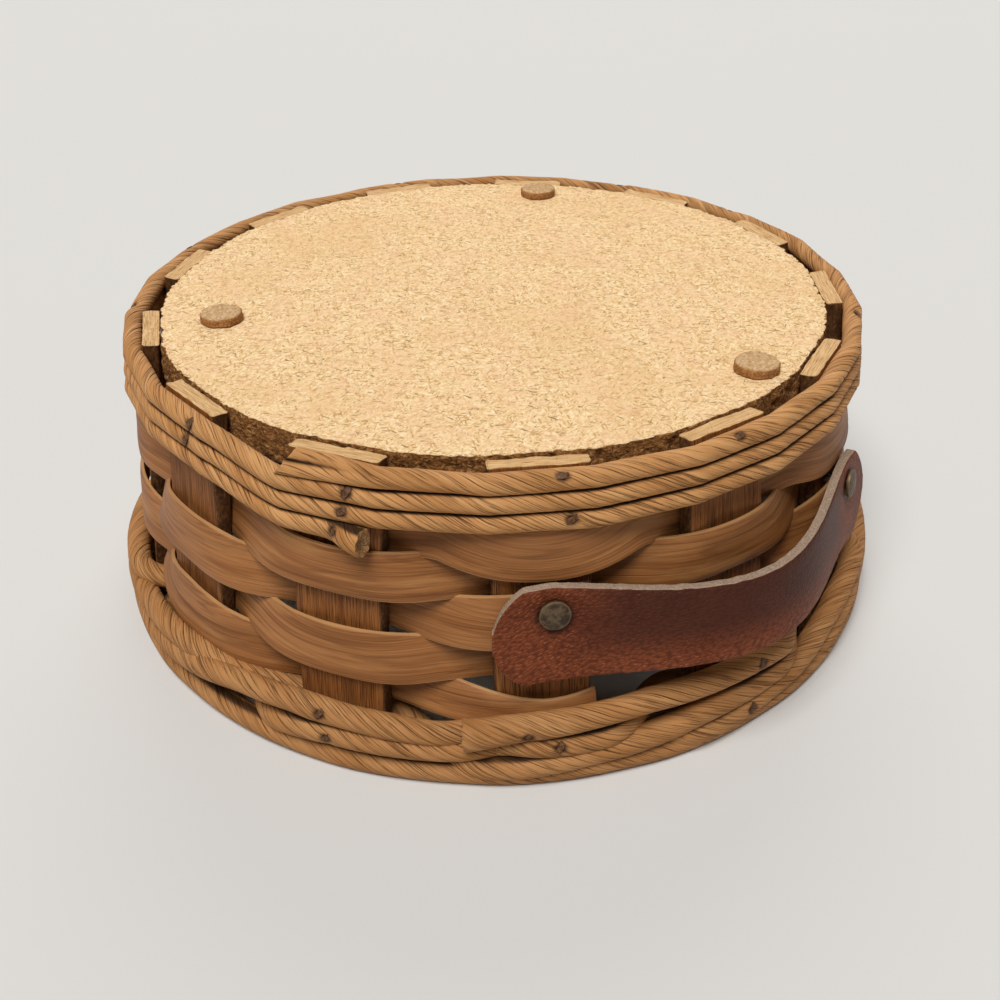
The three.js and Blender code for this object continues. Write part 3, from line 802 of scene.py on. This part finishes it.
def leather_look():
    look = Look("strap_leather")
    mottle = look.noise(0.06, 0.05, detail=4)
    look.base(mottle, (0.3, "#622e19"), (0.5, "#773c23"), (0.7, "#86462a"))
    slanted = look.scaled(look.swung(-0.35, "Y_AXIS"), (3.6, 1, 1))
    wrinkles = look.noise_at(slanted, roughness=0.6, distortion=0.6)
    parts = look.parts()
    # The low half and the ends: there the grain gets painted highlights, and elsewhere the strap is
    # darkened.
    low = look.span(look.math("ADD", parts[0], look.times(mottle, 8)), 6, -6)
    ends = look.span(look.math("ABSOLUTE", parts[2]), 34, 58)
    wear_and_painted_shading = look.math("MAXIMUM", low, ends)
    pebble, _ = look.cells(look.scaled(look.swung(-0.3, "Y_AXIS"), (1.6, 1, 0.75)))
    tops = look.span(pebble, 0.55, 0.12)
    # Painted highlights on the tops of the pebbled grain, in the low half and at the ends.
    painted_grain_highlights = look.times(look.span(wrinkles, 0.48, 0.64), tops)
    look.tint(painted_grain_highlights, look.times(wear_and_painted_shading, 0.75), "#b06c49")
    # Painted shade in the pits between the pebbles.
    painted_pit_shade = look.times(look.span(pebble, 0.45, 0.75), 0.55)
    look.cover(painted_pit_shade, "#3c1b10")
    # The upper middle darker: partly burnished wear, partly painted shade.
    dark = look.math("SUBTRACT", 1, wear_and_painted_shading)
    look.tint(dark, 0.75, "#371c15")
    # Painted shade round the rivet heads.
    look.cover(look.mark("painted_shade"), "#1c0f0a")
    specks = look.span(look.noise(1.7, detail=2), 0.73, 0.77)
    look.tint(specks, 0.5, "#9a7a68")
    fibre = look.noise(1.6, detail=6, roughness=0.75)
    raw = look.ramp(fibre, (0.32, "#836852"), (0.48, "#a98f79"), (0.66, "#c9b49e"))
    look.cover(look.span(look.mark("raw"), 0.35, 0.7), raw)
    height = look.math("ADD", look.times(wrinkles, 0.6), look.times(tops, 0.5))
    fuzz = look.times(look.times(fibre, look.mark("raw")), 2)
    height = look.math("ADD", height, fuzz)
    shine = look.between(look.mark("raw"), 0.45, 0.9)
    return look.finish(shine, height, 0.28, specular=0.09)


def brass_look():
    look = Look("aged_brass")
    patina = look.noise(0.55, detail=6, roughness=0.65)
    look.base(patina, (0.32, "#2c2216"), (0.46, "#49392a"), (0.6, "#685541"), (0.75, "#3b2f21"))
    # A painted highlight round the outer edge of the head and of the washer.
    look.tint(look.mark("raw"), 0.5, "#7f6c4c")
    shine = look.between(patina, 0.35, 0.6)
    return look.finish(shine, patina, 0.05, metallic=0.7)


def staple_look():
    look = Look("staple_wire")
    rust = look.noise(1.6, detail=5, roughness=0.7)
    look.base(rust, (0.35, "#2e1c10"), (0.5, "#573820"), (0.65, "#7a5432"))
    return look.finish(0.55, rust, 0.05, specular=0.25)


BOARD = board_look()
CORK = cork_look()
STAKE = stake_look()
SPLINT = splint_look()
WINDING_RUSH = rush_look("winding_rush", 0.0)
# The rim's rush is a darker copy of the winding's: painted shade.
RIM_RUSH = rush_look("rim_rush", 0.32)
LEATHER = leather_look()
BRASS = brass_look()
STAPLE = staple_look()


# Base board and feet


def board_reach(turn, z):
    """The board's edge lies against the stakes and bulges a little between them."""
    middle = wall_radius(z) - STAKE_DEPTH
    return middle / np.cos(np.minimum(off_stake(turn), half_stake(middle)))


def make_board():
    turn = np.linspace(0, TAU, BOARD_SEGMENTS, endpoint=False)
    under = BASE_HEIGHT - BASE_THICK
    heights = np.linspace(BASE_HEIGHT - BOARD_EASE, under + BOARD_EASE, BOARD_EDGE_ROWS)
    inset = np.array(BOARD_INSETS)
    levels = np.concatenate([0 * inset + BASE_HEIGHT, heights, 0 * inset + under])
    insets = np.concatenate([inset, np.full(len(heights), BOARD_EDGE_INSET), inset[::-1]])
    rings = polar(board_reach(turn, levels[:, None]) - insets[:, None], turn, levels[:, None])
    grain = rings.copy()
    crumble = np.abs(rough(rings, 3, 4, 0.8)) + BOARD_COARSE * np.abs(rough(rings, 4, 14, 5))
    near = bell(insets / BOARD_CRUMBLE_REACH)[:, None]
    rings[..., :2] *= (1 - BOARD_CRUMBLE * crumble * near / WALL_RADIUS_BASE)[..., None]
    face = len(inset)
    rings[:face, :, 2] -= BOARD_CHIP * (crumble * near)[:face]
    rings[:face, :, 2] += BOARD_WARP * rough(grain, 5, 60, 25)[:face]
    raw = np.clip(BOARD_WORN_RATE * (crumble - BOARD_WORN_FROM) * near, 0, BOARD_WORN_MOST)
    raw[face : face + len(heights)] = 1
    body = Body()
    body.skin(rings, grain, raw=raw)
    dress(body.piece("board", BOARD, sharp=55), "board", "base_board")


def make_foot(node, seed):
    low, high = (np.array(corner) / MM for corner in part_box(node))
    middle = (low + high) / 2
    radius = (high[0] - low[0]) / 2
    thick = FOOT_SHOWN
    profile = [(CORE, thick), (radius * 0.5, thick)]
    profile += [(radius - inward, thick - under) for inward, under in FOOT_EDGE]
    profile += [(radius, thick * 0.4), (radius, 0.05), (CORE, 0)]
    rings = turned(profile, FOOT_SEGMENTS)
    grain = rings + 100 * seed
    uneven = FOOT_UNEVEN * rough(rings, seed, 5, 1.4)
    rings[1:-1, :, :2] *= (1 + uneven[1:-1] / radius)[..., None]
    rings[:5, :, 2] += np.minimum(0.6 * uneven[:5], FOOT_PROUD)
    raw = (np.arange(len(profile)) > 3).astype(float)
    body = Body()
    body.skin(rings + [middle[0], middle[1], low[2]], grain, raw=raw[:, None])
    dress(body.piece(f"{node}_cork", CORK), "cork", node)


# Stakes


def stake_section():
    """Points round a stake, from its outer face clockwise as seen from above."""
    half = STAKE_WIDTH / 2
    across = np.linspace(half - STAKE_EASE, STAKE_EASE - half, STAKE_FACE_POINTS)
    outer = [(0, y) for y in across]
    inner = [(-STAKE_THICK, y) for y in across[::-1]]
    right = [(-share * STAKE_THICK, -half) for share in STAKE_SIDES]
    left = [(-share * STAKE_THICK, half) for share in STAKE_SIDES[::-1]]
    return np.array(outer + right + inner + left)


def make_stake(stake):
    section = stake_section()
    low = STAKE_RAISE / math.cos(LEAN)
    high = (BASE_HEIGHT - STAKE_DROP) / math.cos(LEAN)
    steps = int((high - low) / STAKE_STEP)
    rows = np.linspace(low, high, steps)[1:-1]
    along = np.concatenate([[low, low + STAKE_END], rows, [high - STAKE_END, high]])
    points = np.zeros((len(along), len(section), 3))
    points[..., :2] = section
    points[..., 2] = along[:, None]
    grain = points + [0, 0, 240 * stake]
    seed = 40 + 5 * stake
    points[..., 0] += STAKE_FLUTES * rough(grain * STAKE_FIBRE, seed, 3, 0.9) - STAKE_SHY
    points[..., 1] *= 1 - STAKE_NARROW * (1 + waves(along, seed + 1, 60, 12))[:, None]
    points[..., 1] += STAKE_SWAY * waves(along, seed + 2, 120, 40)[:, None]
    ends = np.zeros(len(along))
    ends[[0, -1]] = 1
    points[-2:, :, 2] += STAKE_PROUD
    points[-1, :, 2] += STAKE_SAWN * rough(grain[-1], seed + 3, 6, 1.5) - STAKE_SAWN_LOW
    body = Body()
    body.skin(on_stake(stake_turn(stake), points), grain, raw=ends[:, None])
    dress(body.piece(f"stake_{stake + 1:02d}_wood", STAKE), "slat", f"stake_{stake + 1:02d}")


# Rush cords and their staples


def staple(body, route, index, radius, rise, tilt):
    """A flat wire staple sunk into a cord, its crown tilted from the cord's run."""
    along, outward, upward = (axis[index] for axis in frame_along(route))
    out = outward * math.cos(rise) + upward * math.sin(rise)
    way = along * math.cos(tilt) + np.cross(out, along) * math.sin(tilt)
    width = np.cross(way, out)
    middle = route[index] + out * (radius - STAPLE_SINK)
    half = np.array(STAPLE_BEND)
    bent = np.concatenate([half[:0:-1] * [-1, 1], half])
    run = unit(np.gradient(bent, axis=0))
    turn = np.linspace(0, TAU, STAPLE_SIDES, endpoint=False)
    square = [np.sign(part) * np.abs(part) ** STAPLE_SQUARE for part in (np.cos(turn), np.sin(turn))]
    rings = []
    for (ahead, high), (slope, fall) in zip(bent, run):
        normal = slope * out - fall * way
        section = np.outer(square[0] * STAPLE_THICK / 2, normal)
        section = section - np.outer(square[1] * STAPLE_WIDTH / 2, width)
        rings.append(middle + ahead * way + high * out + section)
    rings = np.array(rings)
    body.skin(rings, rings)


def stapled_cord(body, staples, places, route, radius, held, **settings):
    """A cord with staples: their place along it, degrees up from outward and tilt."""
    dents = []
    for place, rise, tilt in held:
        index = int(np.searchsorted(places, place))
        dents.append((index, math.radians(rise)))
        staple(staples, route, index, radius, math.radians(rise), math.radians(tilt))
    cord(body, route, radius, dents=dents, **settings)


def winding_level(turns):
    """Height of the winding: each round is level and steps down before it passes the start."""
    full = np.floor(turns)
    step = smooth(1 - (full + 1 - turns) * 360 / WINDING_STEP)
    return WINDING_TOP - (full + step) * WINDING_RISE


def winding_route():
    last = WINDING_TURNS + WINDING_OVERLAP / 360
    around = TAU * WALL_RADIUS_RIM
    turns = np.linspace(0, last, int(last * around / CORD_STEP))
    length = turns * around
    z = winding_level(turns)
    turn = math.radians(WINDING_START) + TAU * turns
    tip = bell(length / WINDING_TIP)
    tail = smooth(1 - (length[-1] - length) / WINDING_TAIL)
    wander = WINDING_WANDER * (1 + waves(length, 11, 160, 40))
    out = wander + WINDING_TIP_OUT * tip + WINDING_TAIL_OUT * tail**1.5
    z = z + WINDING_WANDER * waves(length, 12, 140, 35)
    z = z + WINDING_TIP_LIFT * tip - WINDING_TAIL_DROP * tail
    return turns, polar(taut(turn, z) + WINDING_DIAMETER / 2 + out, turn, z)


def make_winding():
    turns, route = winding_route()
    radius = (WINDING_DIAMETER + WINDING_PLUMP) / 2
    held = []
    for third in STAPLE_THIRDS:
        for row, angle, rise, tilt in WINDING_STAPLES:
            place = row + (angle - WINDING_START) / 360 + third / 360
            if WINDING_BARE < place < turns[-1]:
                held.append((place, rise, tilt))
    # Painted shade on the upper and lower sides where other rounds lie against the cord.
    seams = (turns > 1) * SEAM_SHADE, (turns < turns[-1] - 1) * SEAM_SHADE
    paper = {"lay_length": WINDING_LAY, "seed": 13, "flare": (0, 0.3), "beak": BEAK_DEPTH}
    rush = Body()
    staples = Body()
    stapled_cord(rush, staples, turns, route, radius, held, seams=seams, **paper)
    dress(rush.piece("winding_rush", WINDING_RUSH, sharp=60), "rush", "base_winding")
    dress(staples.piece("winding_staples", STAPLE), None)


def rim_route(place, rod, own):
    """A rod climbs in front of two stakes and drops behind the third. At the front the rods give
    way to the one that is laid over them."""
    phase = (place + rod) % RIM_RODS
    in_front = (phase >= 0.5) & (phase <= RIM_RODS - 0.5)
    fall = np.where(phase < 0.5, phase + 0.5, phase - RIM_RODS + 0.5)
    high = RIM_HIGH - RIM_SETTLE
    climb = RIM_LOW + RIM_RISE * (phase - 0.5) - RIM_SETTLE * smooth(phase, *RIM_SETTLING)
    drop = (RIM_LOW + high) / 2 + (high - RIM_LOW) / 2 * np.cos(math.pi * fall)
    z = np.where(in_front, climb, drop)
    give = smooth(place, *RIM_GIVING) * (1 - smooth(place, *RIM_REGAINING))
    z = np.maximum(z - RIM_GIVE * give, RIM_LEAST)
    way = (np.minimum(phase, RIM_RODS - phase) - CROSSING_START) / (1 - 2 * CROSSING_START)
    out = (1 - np.cos(math.pi * np.clip(way, 0, 1))) / 2
    if own:
        places, outs, heights = np.array(own).T
        here = (place >= places[0]) & (place <= places[-1])
        out = np.where(here, np.interp(place, places, outs), out)
        z = np.where(here, np.interp(place, places, heights), z)
    front = outside_stakes(z) + RIM_STAND + RIM_DIAMETER / 2
    behind = inside_stakes(z) - RIM_DIAMETER / 2
    return polar(behind + (front - behind) * out, stake_turn(RIM_FIRST_STAKE + place), z)


def rim_seams(run, courses):
    """Painted shade on a run of the wale, as deep as other rods lie close over and under it, and on its
    underside low down by the rim cord, all along it.
    """
    places, route = courses[run]
    reach = np.hypot(route[:, 0], route[:, 1])
    over = np.zeros(len(places))
    under = SEAM_SHADE * smooth((RIM_CORD_REACH - route[:, 2]) / 2)
    for other, (beside, lying) in enumerate(courses):
        far = np.hypot(lying[:, 0], lying[:, 1])
        for shift in (-STAKE_COUNT, 0, STAKE_COUNT):
            here = places + shift
            there = (here >= beside[0]) & (here <= beside[-1]) & ((other != run) | (shift != 0))
            apart = np.interp(here, beside, lying[:, 2]) - route[:, 2]
            level = there * bell((np.interp(here, beside, far) - reach) / RIM_SEAM_OUT, 4) * SEAM_SHADE
            over = np.maximum(over, level * bell((apart - RIM_DIAMETER) / RIM_SEAM_UP, 4))
            under = np.maximum(under, level * bell((apart + RIM_DIAMETER) / RIM_SEAM_UP, 4))
    return over, under


def rim_courses():
    """Places and route of each run of the wale."""
    courses = []
    for rod, first, last, proud, tuck, own in RIM_RUNS:
        places = np.linspace(first, last, int((last - first) * STAKE_PITCH * WALL_RADIUS_RIM / CORD_STEP))
        route = rim_route(places, rod, own)
        length = run_of(route)
        begun, ended = (bell(far / RIM_TUCK_RUN) for far in (length, length[-1] - length))
        route[:, :2] *= 1 + (proud * begun - tuck * ended)[:, None] / WALL_RADIUS_RIM
        courses.append((places, route))
    return courses


def make_rim():
    radius = outside_stakes(RIM_CORD_LEVEL) + RIM_DIAMETER / 2
    sweep = TAU - RIM_CUT_GAP / radius
    turn = math.radians(RIM_CORD_START) + np.linspace(0, sweep, int(sweep * radius / CORD_STEP))
    thick = (RIM_DIAMETER + RIM_PLUMP) / 2
    body = Body()
    # Painted shade along the top of the rim cord, where the rods lie on it.
    cord(body, polar(radius, turn, RIM_CORD_SHOWN), thick, RIM_LAY, seed=31, floor=0, seams=(0.7, 0))
    dress(body.piece("rim_cord_rush", RIM_RUSH, sharp=60), "rush", "rim_cord")
    staples = Body()
    bodies = [Body() for _ in range(RIM_RODS)]
    courses = rim_courses()
    for run, (places, route) in enumerate(courses):
        rod, _, _, proud, _, _ = RIM_RUNS[run]
        held = [spot for on, *spot in RIM_STAPLES if on == run]
        flare = (0.35 if proud > 0 else 0, 0)
        paper = {"lay_length": RIM_LAY, "seed": 51 + 20 * run, "flare": flare}
        seams = rim_seams(run, courses)
        stapled_cord(bodies[rod], staples, places, route, thick, held, seams=seams, **paper)
    for rod, body in enumerate(bodies, 1):
        dress(body.piece(f"rim_rod_{rod}_rush", RIM_RUSH, sharp=60), "rush", f"rim_rod_{rod}")
    dress(staples.piece("rim_staples", STAPLE), None)


# Splint


def wave(place):
    return WEAVER_FLATNESS * np.cos(3 * math.pi * place) - np.cos(math.pi * place)


def weaver_middle(place, z):
    front = outside_stakes(z) + WEAVER_ROOM / 2
    behind = inside_stakes(z) - WEAVER_ROOM / 2
    edge = half_stake(wall_radius(z)) / STAKE_PITCH
    swing = (front - behind) / (wave(1 + edge) + WAVE_PEAK)
    return behind + swing * (WAVE_PEAK + wave(place))


def make_weaver():
    edge = STAKE_WIDTH / 2 / (WALL_RADIUS_BASE * STAKE_PITCH)
    place = np.linspace(-edge, WEAVER_LAST + edge, WEAVER_LAST * WEAVER_STEPS)
    turn = stake_turn(WEAVER_FIRST_STAKE - STAKE_COUNT + place)
    past = (turn - math.radians(WINDING_START)) / TAU
    ceiling = winding_level(WINDING_TURNS - 1 + past) - WINDING_DIAMETER / 2
    top = WEAVER_TOP - WEAVER_DROP * place / STAKE_COUNT + WEAVER_WAVER * waves(place, 71, 9, 2.5)
    over_stake = np.abs(np.cos(math.pi * place)) ** 1.2
    rows, above, below = np.array(WEAVER_ROWS).T
    high = top + WEAVER_OVER + np.interp(place, rows, above) * over_stake
    high = np.minimum(high, ceiling - WEAVER_GAP)
    low = top - WEAVER_WIDTH - WEAVER_OVER - np.interp(place, rows, below) * over_stake
    clear = np.maximum(over_stake, smooth(place, *WEAVER_CLEAR))
    low = np.maximum(low, WEAVER_FLOOR - WEAVER_DIP * clear)
    share = np.sin(np.linspace(-1, 1, WEAVER_FACE_POINTS) * TAU / 4)
    half_thick = WEAVER_THICK / 2 * (1 - WEAVER_THIN * np.abs(share) ** 10)
    share = np.concatenate([share, share[::-1]])
    side = np.concatenate([half_thick, -half_thick[::-1]])
    z = ((high + low) / 2)[:, None] + ((high - low) / 2)[:, None] * share
    lean = -WEAVER_LEAN * np.sin(math.pi * place) ** 2
    radius = weaver_middle(place[:, None], z) + side + lean[:, None] * share
    rings = polar(radius, turn[:, None], z)
    along = place * STAKE_PITCH * WALL_RADIUS_RIM
    grain = together(z - low[:, None], side, along[:, None])
    uneven = WEAVER_UNEVEN * rough(grain * WEAVER_FIBRE, 72, 4, 1.2)
    rings += uneven[..., None] * np.sign(side)[:, None]
    raw = np.broadcast_to(np.abs(share) > WEAVER_EDGE, z.shape).astype(float)
    body = Body()
    body.skin(rings, grain, raw=raw)
    dress(body.piece("weaver_splint", SPLINT), "splint", "weaver")


# Straps and rivets


def strap_standoff(z):
    return weaver_middle(1, z) + WEAVER_ROOM / 2 + FIT - wall_radius(z)


def strap_radius(turn, level):
    seat = wall_radius(level) + strap_standoff(level)
    past = np.abs(turn) - STAKE_PITCH
    bow = seat + STRAP_BOW * np.cos(TAU / 4 * turn / STAKE_PITCH) ** 2
    return np.where(past > 0, seat / np.cos(past), bow)


def strap_half(turn, from_tip):
    """Half of the strap's height: a round end with corners, then a slight waist."""
    end_radius = ((STRAP_WIDTH / 2) ** 2 + STRAP_CORNER**2) / (2 * STRAP_CORNER)
    end = np.sqrt(np.maximum(2 * end_radius * from_tip - from_tip**2, (STRAP_TIP / 2) ** 2))
    apart = np.minimum(1, np.abs(turn) / STAKE_PITCH)
    waist = (STRAP_WAIST + (STRAP_WIDTH - STRAP_WAIST) * apart**2) / 2
    return np.where(from_tip < STRAP_CORNER, end, waist)


def make_strap(name, stake, level, seed):
    seat = float(strap_radius(STAKE_PITCH, level))
    tip = STAKE_PITCH + math.atan(STRAP_TAIL / seat)
    corner = 1 - np.cos(np.linspace(0, TAU / 4, STRAP_CORNER_POINTS, endpoint=False))
    ends = tip - corner * STRAP_CORNER / seat
    straight = tip - STRAP_CORNER / seat
    middle = np.linspace(straight, -straight, int(2 * straight * seat / STRAP_STEP))
    turn = np.concatenate([ends, middle, -ends[::-1]])[::-1]
    half = strap_half(turn, (tip - np.abs(turn)) * seat)
    share = np.sin(np.linspace(-1, 1, STRAP_FACE_POINTS) * TAU / 4)
    soften = STRAP_SOFTEN * np.abs(share) ** 14
    edge = np.array(STRAP_EDGE) * STRAP_THICK
    proud = [STRAP_EDGE_PROUD, STRAP_EDGE_PROUD]
    share_round = np.concatenate([share, proud, share[::-1], np.negative(proud)])
    depth = np.concatenate([STRAP_THICK - soften, edge, 0.5 * soften[::-1], edge[::-1]])
    raw = np.concatenate([np.zeros(STRAP_FACE_POINTS), np.ones(STRAP_FACE_POINTS + 4)])
    z = half[:, None] * share_round
    along = turn * seat
    z = z + STRAP_WANDER * waves(along, seed, 90, 25)[:, None]
    z = z + STRAP_RAGGED * waves(along, seed + 1, 9, 3)[:, None] * share_round
    past = (np.abs(turn) - STAKE_PITCH) * seat
    sag = STRAP_SINK + STRAP_SAG * np.cos(TAU / 4 * np.minimum(np.abs(turn) / STAKE_PITCH, 1)) ** 2
    lying = z
    z = z - (sag + STRAP_DROOP * smooth(past / STRAP_TAIL))[:, None]
    rivet = np.hypot(past[:, None], z - RIVET_RISE)
    face = depth > STRAP_THICK / 2
    dent = RIVET_DENT * bell(rivet / RIVET_DENT_REACH, 4) * face
    # A ring of painted shade round the rivet head.
    ring = bell((rivet - RIVET_HEAD / 2) / RIVET_SHADE) * face
    radius = strap_radius(turn, level)[:, None] + depth - WALL_SLOPE * z - dent
    rings = polar(radius, STRAP_DRAW * turn[:, None] + stake_turn(stake), level + z)
    grain = together(lying, depth * 2, along[:, None]) + [0, 60 * seed, 0]
    raw = np.broadcast_to(raw, z.shape).copy()
    raw[[0, -1]] = 1
    body = Body()
    body.skin(rings, grain, raw=raw, painted_shade=RIVET_SHADE_DARK * ring)
    strap = body.piece(f"strap_{name}", LEATHER, sharp=50)
    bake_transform(strap)
    nodes = (f"strap_end_{name}_1", f"strap_bow_{name}", f"strap_end_{name}_2")
    dress(strap, "leather", *nodes, body=None)


def make_rivet(name, stake, level, inward):
    head = float(strap_standoff(level)) + STRAP_THICK + FIT
    washer = -(STAKE_THICK + FIT + WEAVER_ROOM + FIT)
    tail = washer - WASHER_THICK - FIT
    wide, shank, peened = RIVET_HEAD / 2, RIVET_SHANK / 2, RIVET_TAIL / 2
    bend = np.linspace(*RIVET_BEND)
    crown = head + RIVET_HEAD_THICK
    shape = [(wide * math.sin(a), crown - RIVET_DOME * (1 - math.cos(a))) for a in bend]
    shape += [(wide - back, head + over) for back, over in RIVET_EDGE]
    drawn, under = RIVET_PEEN
    shape += [(shank, head + RIVET_EDGE[-1][1]), (shank, tail), (peened, tail), (peened, tail - under)]
    shape += [(peened - drawn, tail - RIVET_TAIL_THICK), (CORE, tail - RIVET_TAIL_THICK)]
    inner, outer = shank + FIT, WASHER_DIAMETER / 2
    low = washer - WASHER_THICK
    eased = outer - WASHER_EASE
    ring = [(inner, washer), (eased, washer), (outer, washer - WASHER_EASE), (outer, low + WASHER_EASE)]
    ring += [(eased, low), (inner, low), (inner, washer)]
    height = (level + RIVET_RISE) / math.cos(LEAN)
    for piece, node, profile in (("rivet", "rivet", shape), ("washer", "rivet_washer", ring)):
        rings = turned(profile, ROUND_SEGMENTS)
        grain = rings + 30 * stake
        # The outer band of the head and washer, where a highlight is painted.
        rim = smooth(np.hypot(rings[..., 0], rings[..., 1]), wide - RIVET_RIM_HIGHLIGHT[0], RIVET_RIM_HIGHLIGHT[1])
        rings = rings + RIVET_BEATEN * rough(rings, stake, 5, 2)[..., None]
        body = Body()
        points = rings[..., [2, 1, 0]] * [1, 1, -1] + [0, inward, height]
        body.skin(on_stake(stake_turn(stake), points), grain, raw=rim)
        dress(body.piece(f"{piece}_{name}_brass", BRASS, sharp=35), "aged_brass", f"{node}_{name}")


make_board()
for seed, node in enumerate(("foot_right", "foot_back", "foot_left"), 1):
    make_foot(node, seed)
for stake in range(STAKE_COUNT):
    make_stake(stake)
make_winding()
make_rim()
make_weaver()
for seed, (name, (stake, level)) in enumerate(HANDLES.items(), 1):
    make_strap(name, stake, level, seed)
    make_rivet(f"{name}_1", (stake - 1) % STAKE_COUNT, level, RIVET_INWARD)
    make_rivet(f"{name}_2", stake + 1, level, -RIVET_INWARD)


# Floor, light and camera


def make_floor():
    material = Look("pale_floor", FLOOR_COLOR).finish(0.9, specular=0.2)
    bpy.ops.mesh.primitive_plane_add(size=FLOOR_SIZE)
    floor = bpy.context.object
    floor.name = "floor"
    floor.data.materials.append(material)


def lamp(name, place, spread, power):
    """Soft light from a far, wide source, even over the whole floor."""
    data = bpy.data.lights.new(name, "SUN")
    data.angle = math.radians(spread)
    data.energy = power
    made = added(name, data)
    made.location = place
    made.rotation_euler = (-Vector(place)).to_track_quat("-Z", "Y").to_euler()


def make_light():
    """The backdrop is bright to the camera and in reflections, and the room lights the basket less."""
    look = Look("studio", world=True)
    rays = look.add("ShaderNodeLightPath", {}).outputs
    seen = look.math("MAXIMUM", rays["Is Camera Ray"], rays["Is Glossy Ray"])
    seen = look.math("MAXIMUM", seen, rays["Is Transmission Ray"])
    background = look.tree.nodes["Background"].inputs
    look.feed(background["Color"], BACKDROP_COLOR)
    look.feed(background["Strength"], look.between(seen, WORLD_LIGHT, BACKDROP))
    bpy.context.scene.world = look.owner
    for settings in LAMPS:
        lamp(*settings)


def make_camera():
    look = Vector(CAMERA_LOOK).normalized()
    right = look.cross(Vector(CAMERA_UP)).normalized()
    up = right.cross(look)
    data = bpy.data.cameras.new("camera")
    data.lens = CAMERA_LENS
    data.sensor_width = CAMERA_SENSOR
    data.clip_start = 0.01
    made = added("camera", data)
    facing = Matrix((right, up, -look)).transposed().to_4x4()
    made.matrix_world = Matrix.Translation(Vector(CAMERA_PLACE) * MM) @ facing
    bpy.context.scene.camera = made


make_floor()
make_light()
make_camera()
bpy.context.scene.view_settings.view_transform = "Standard"
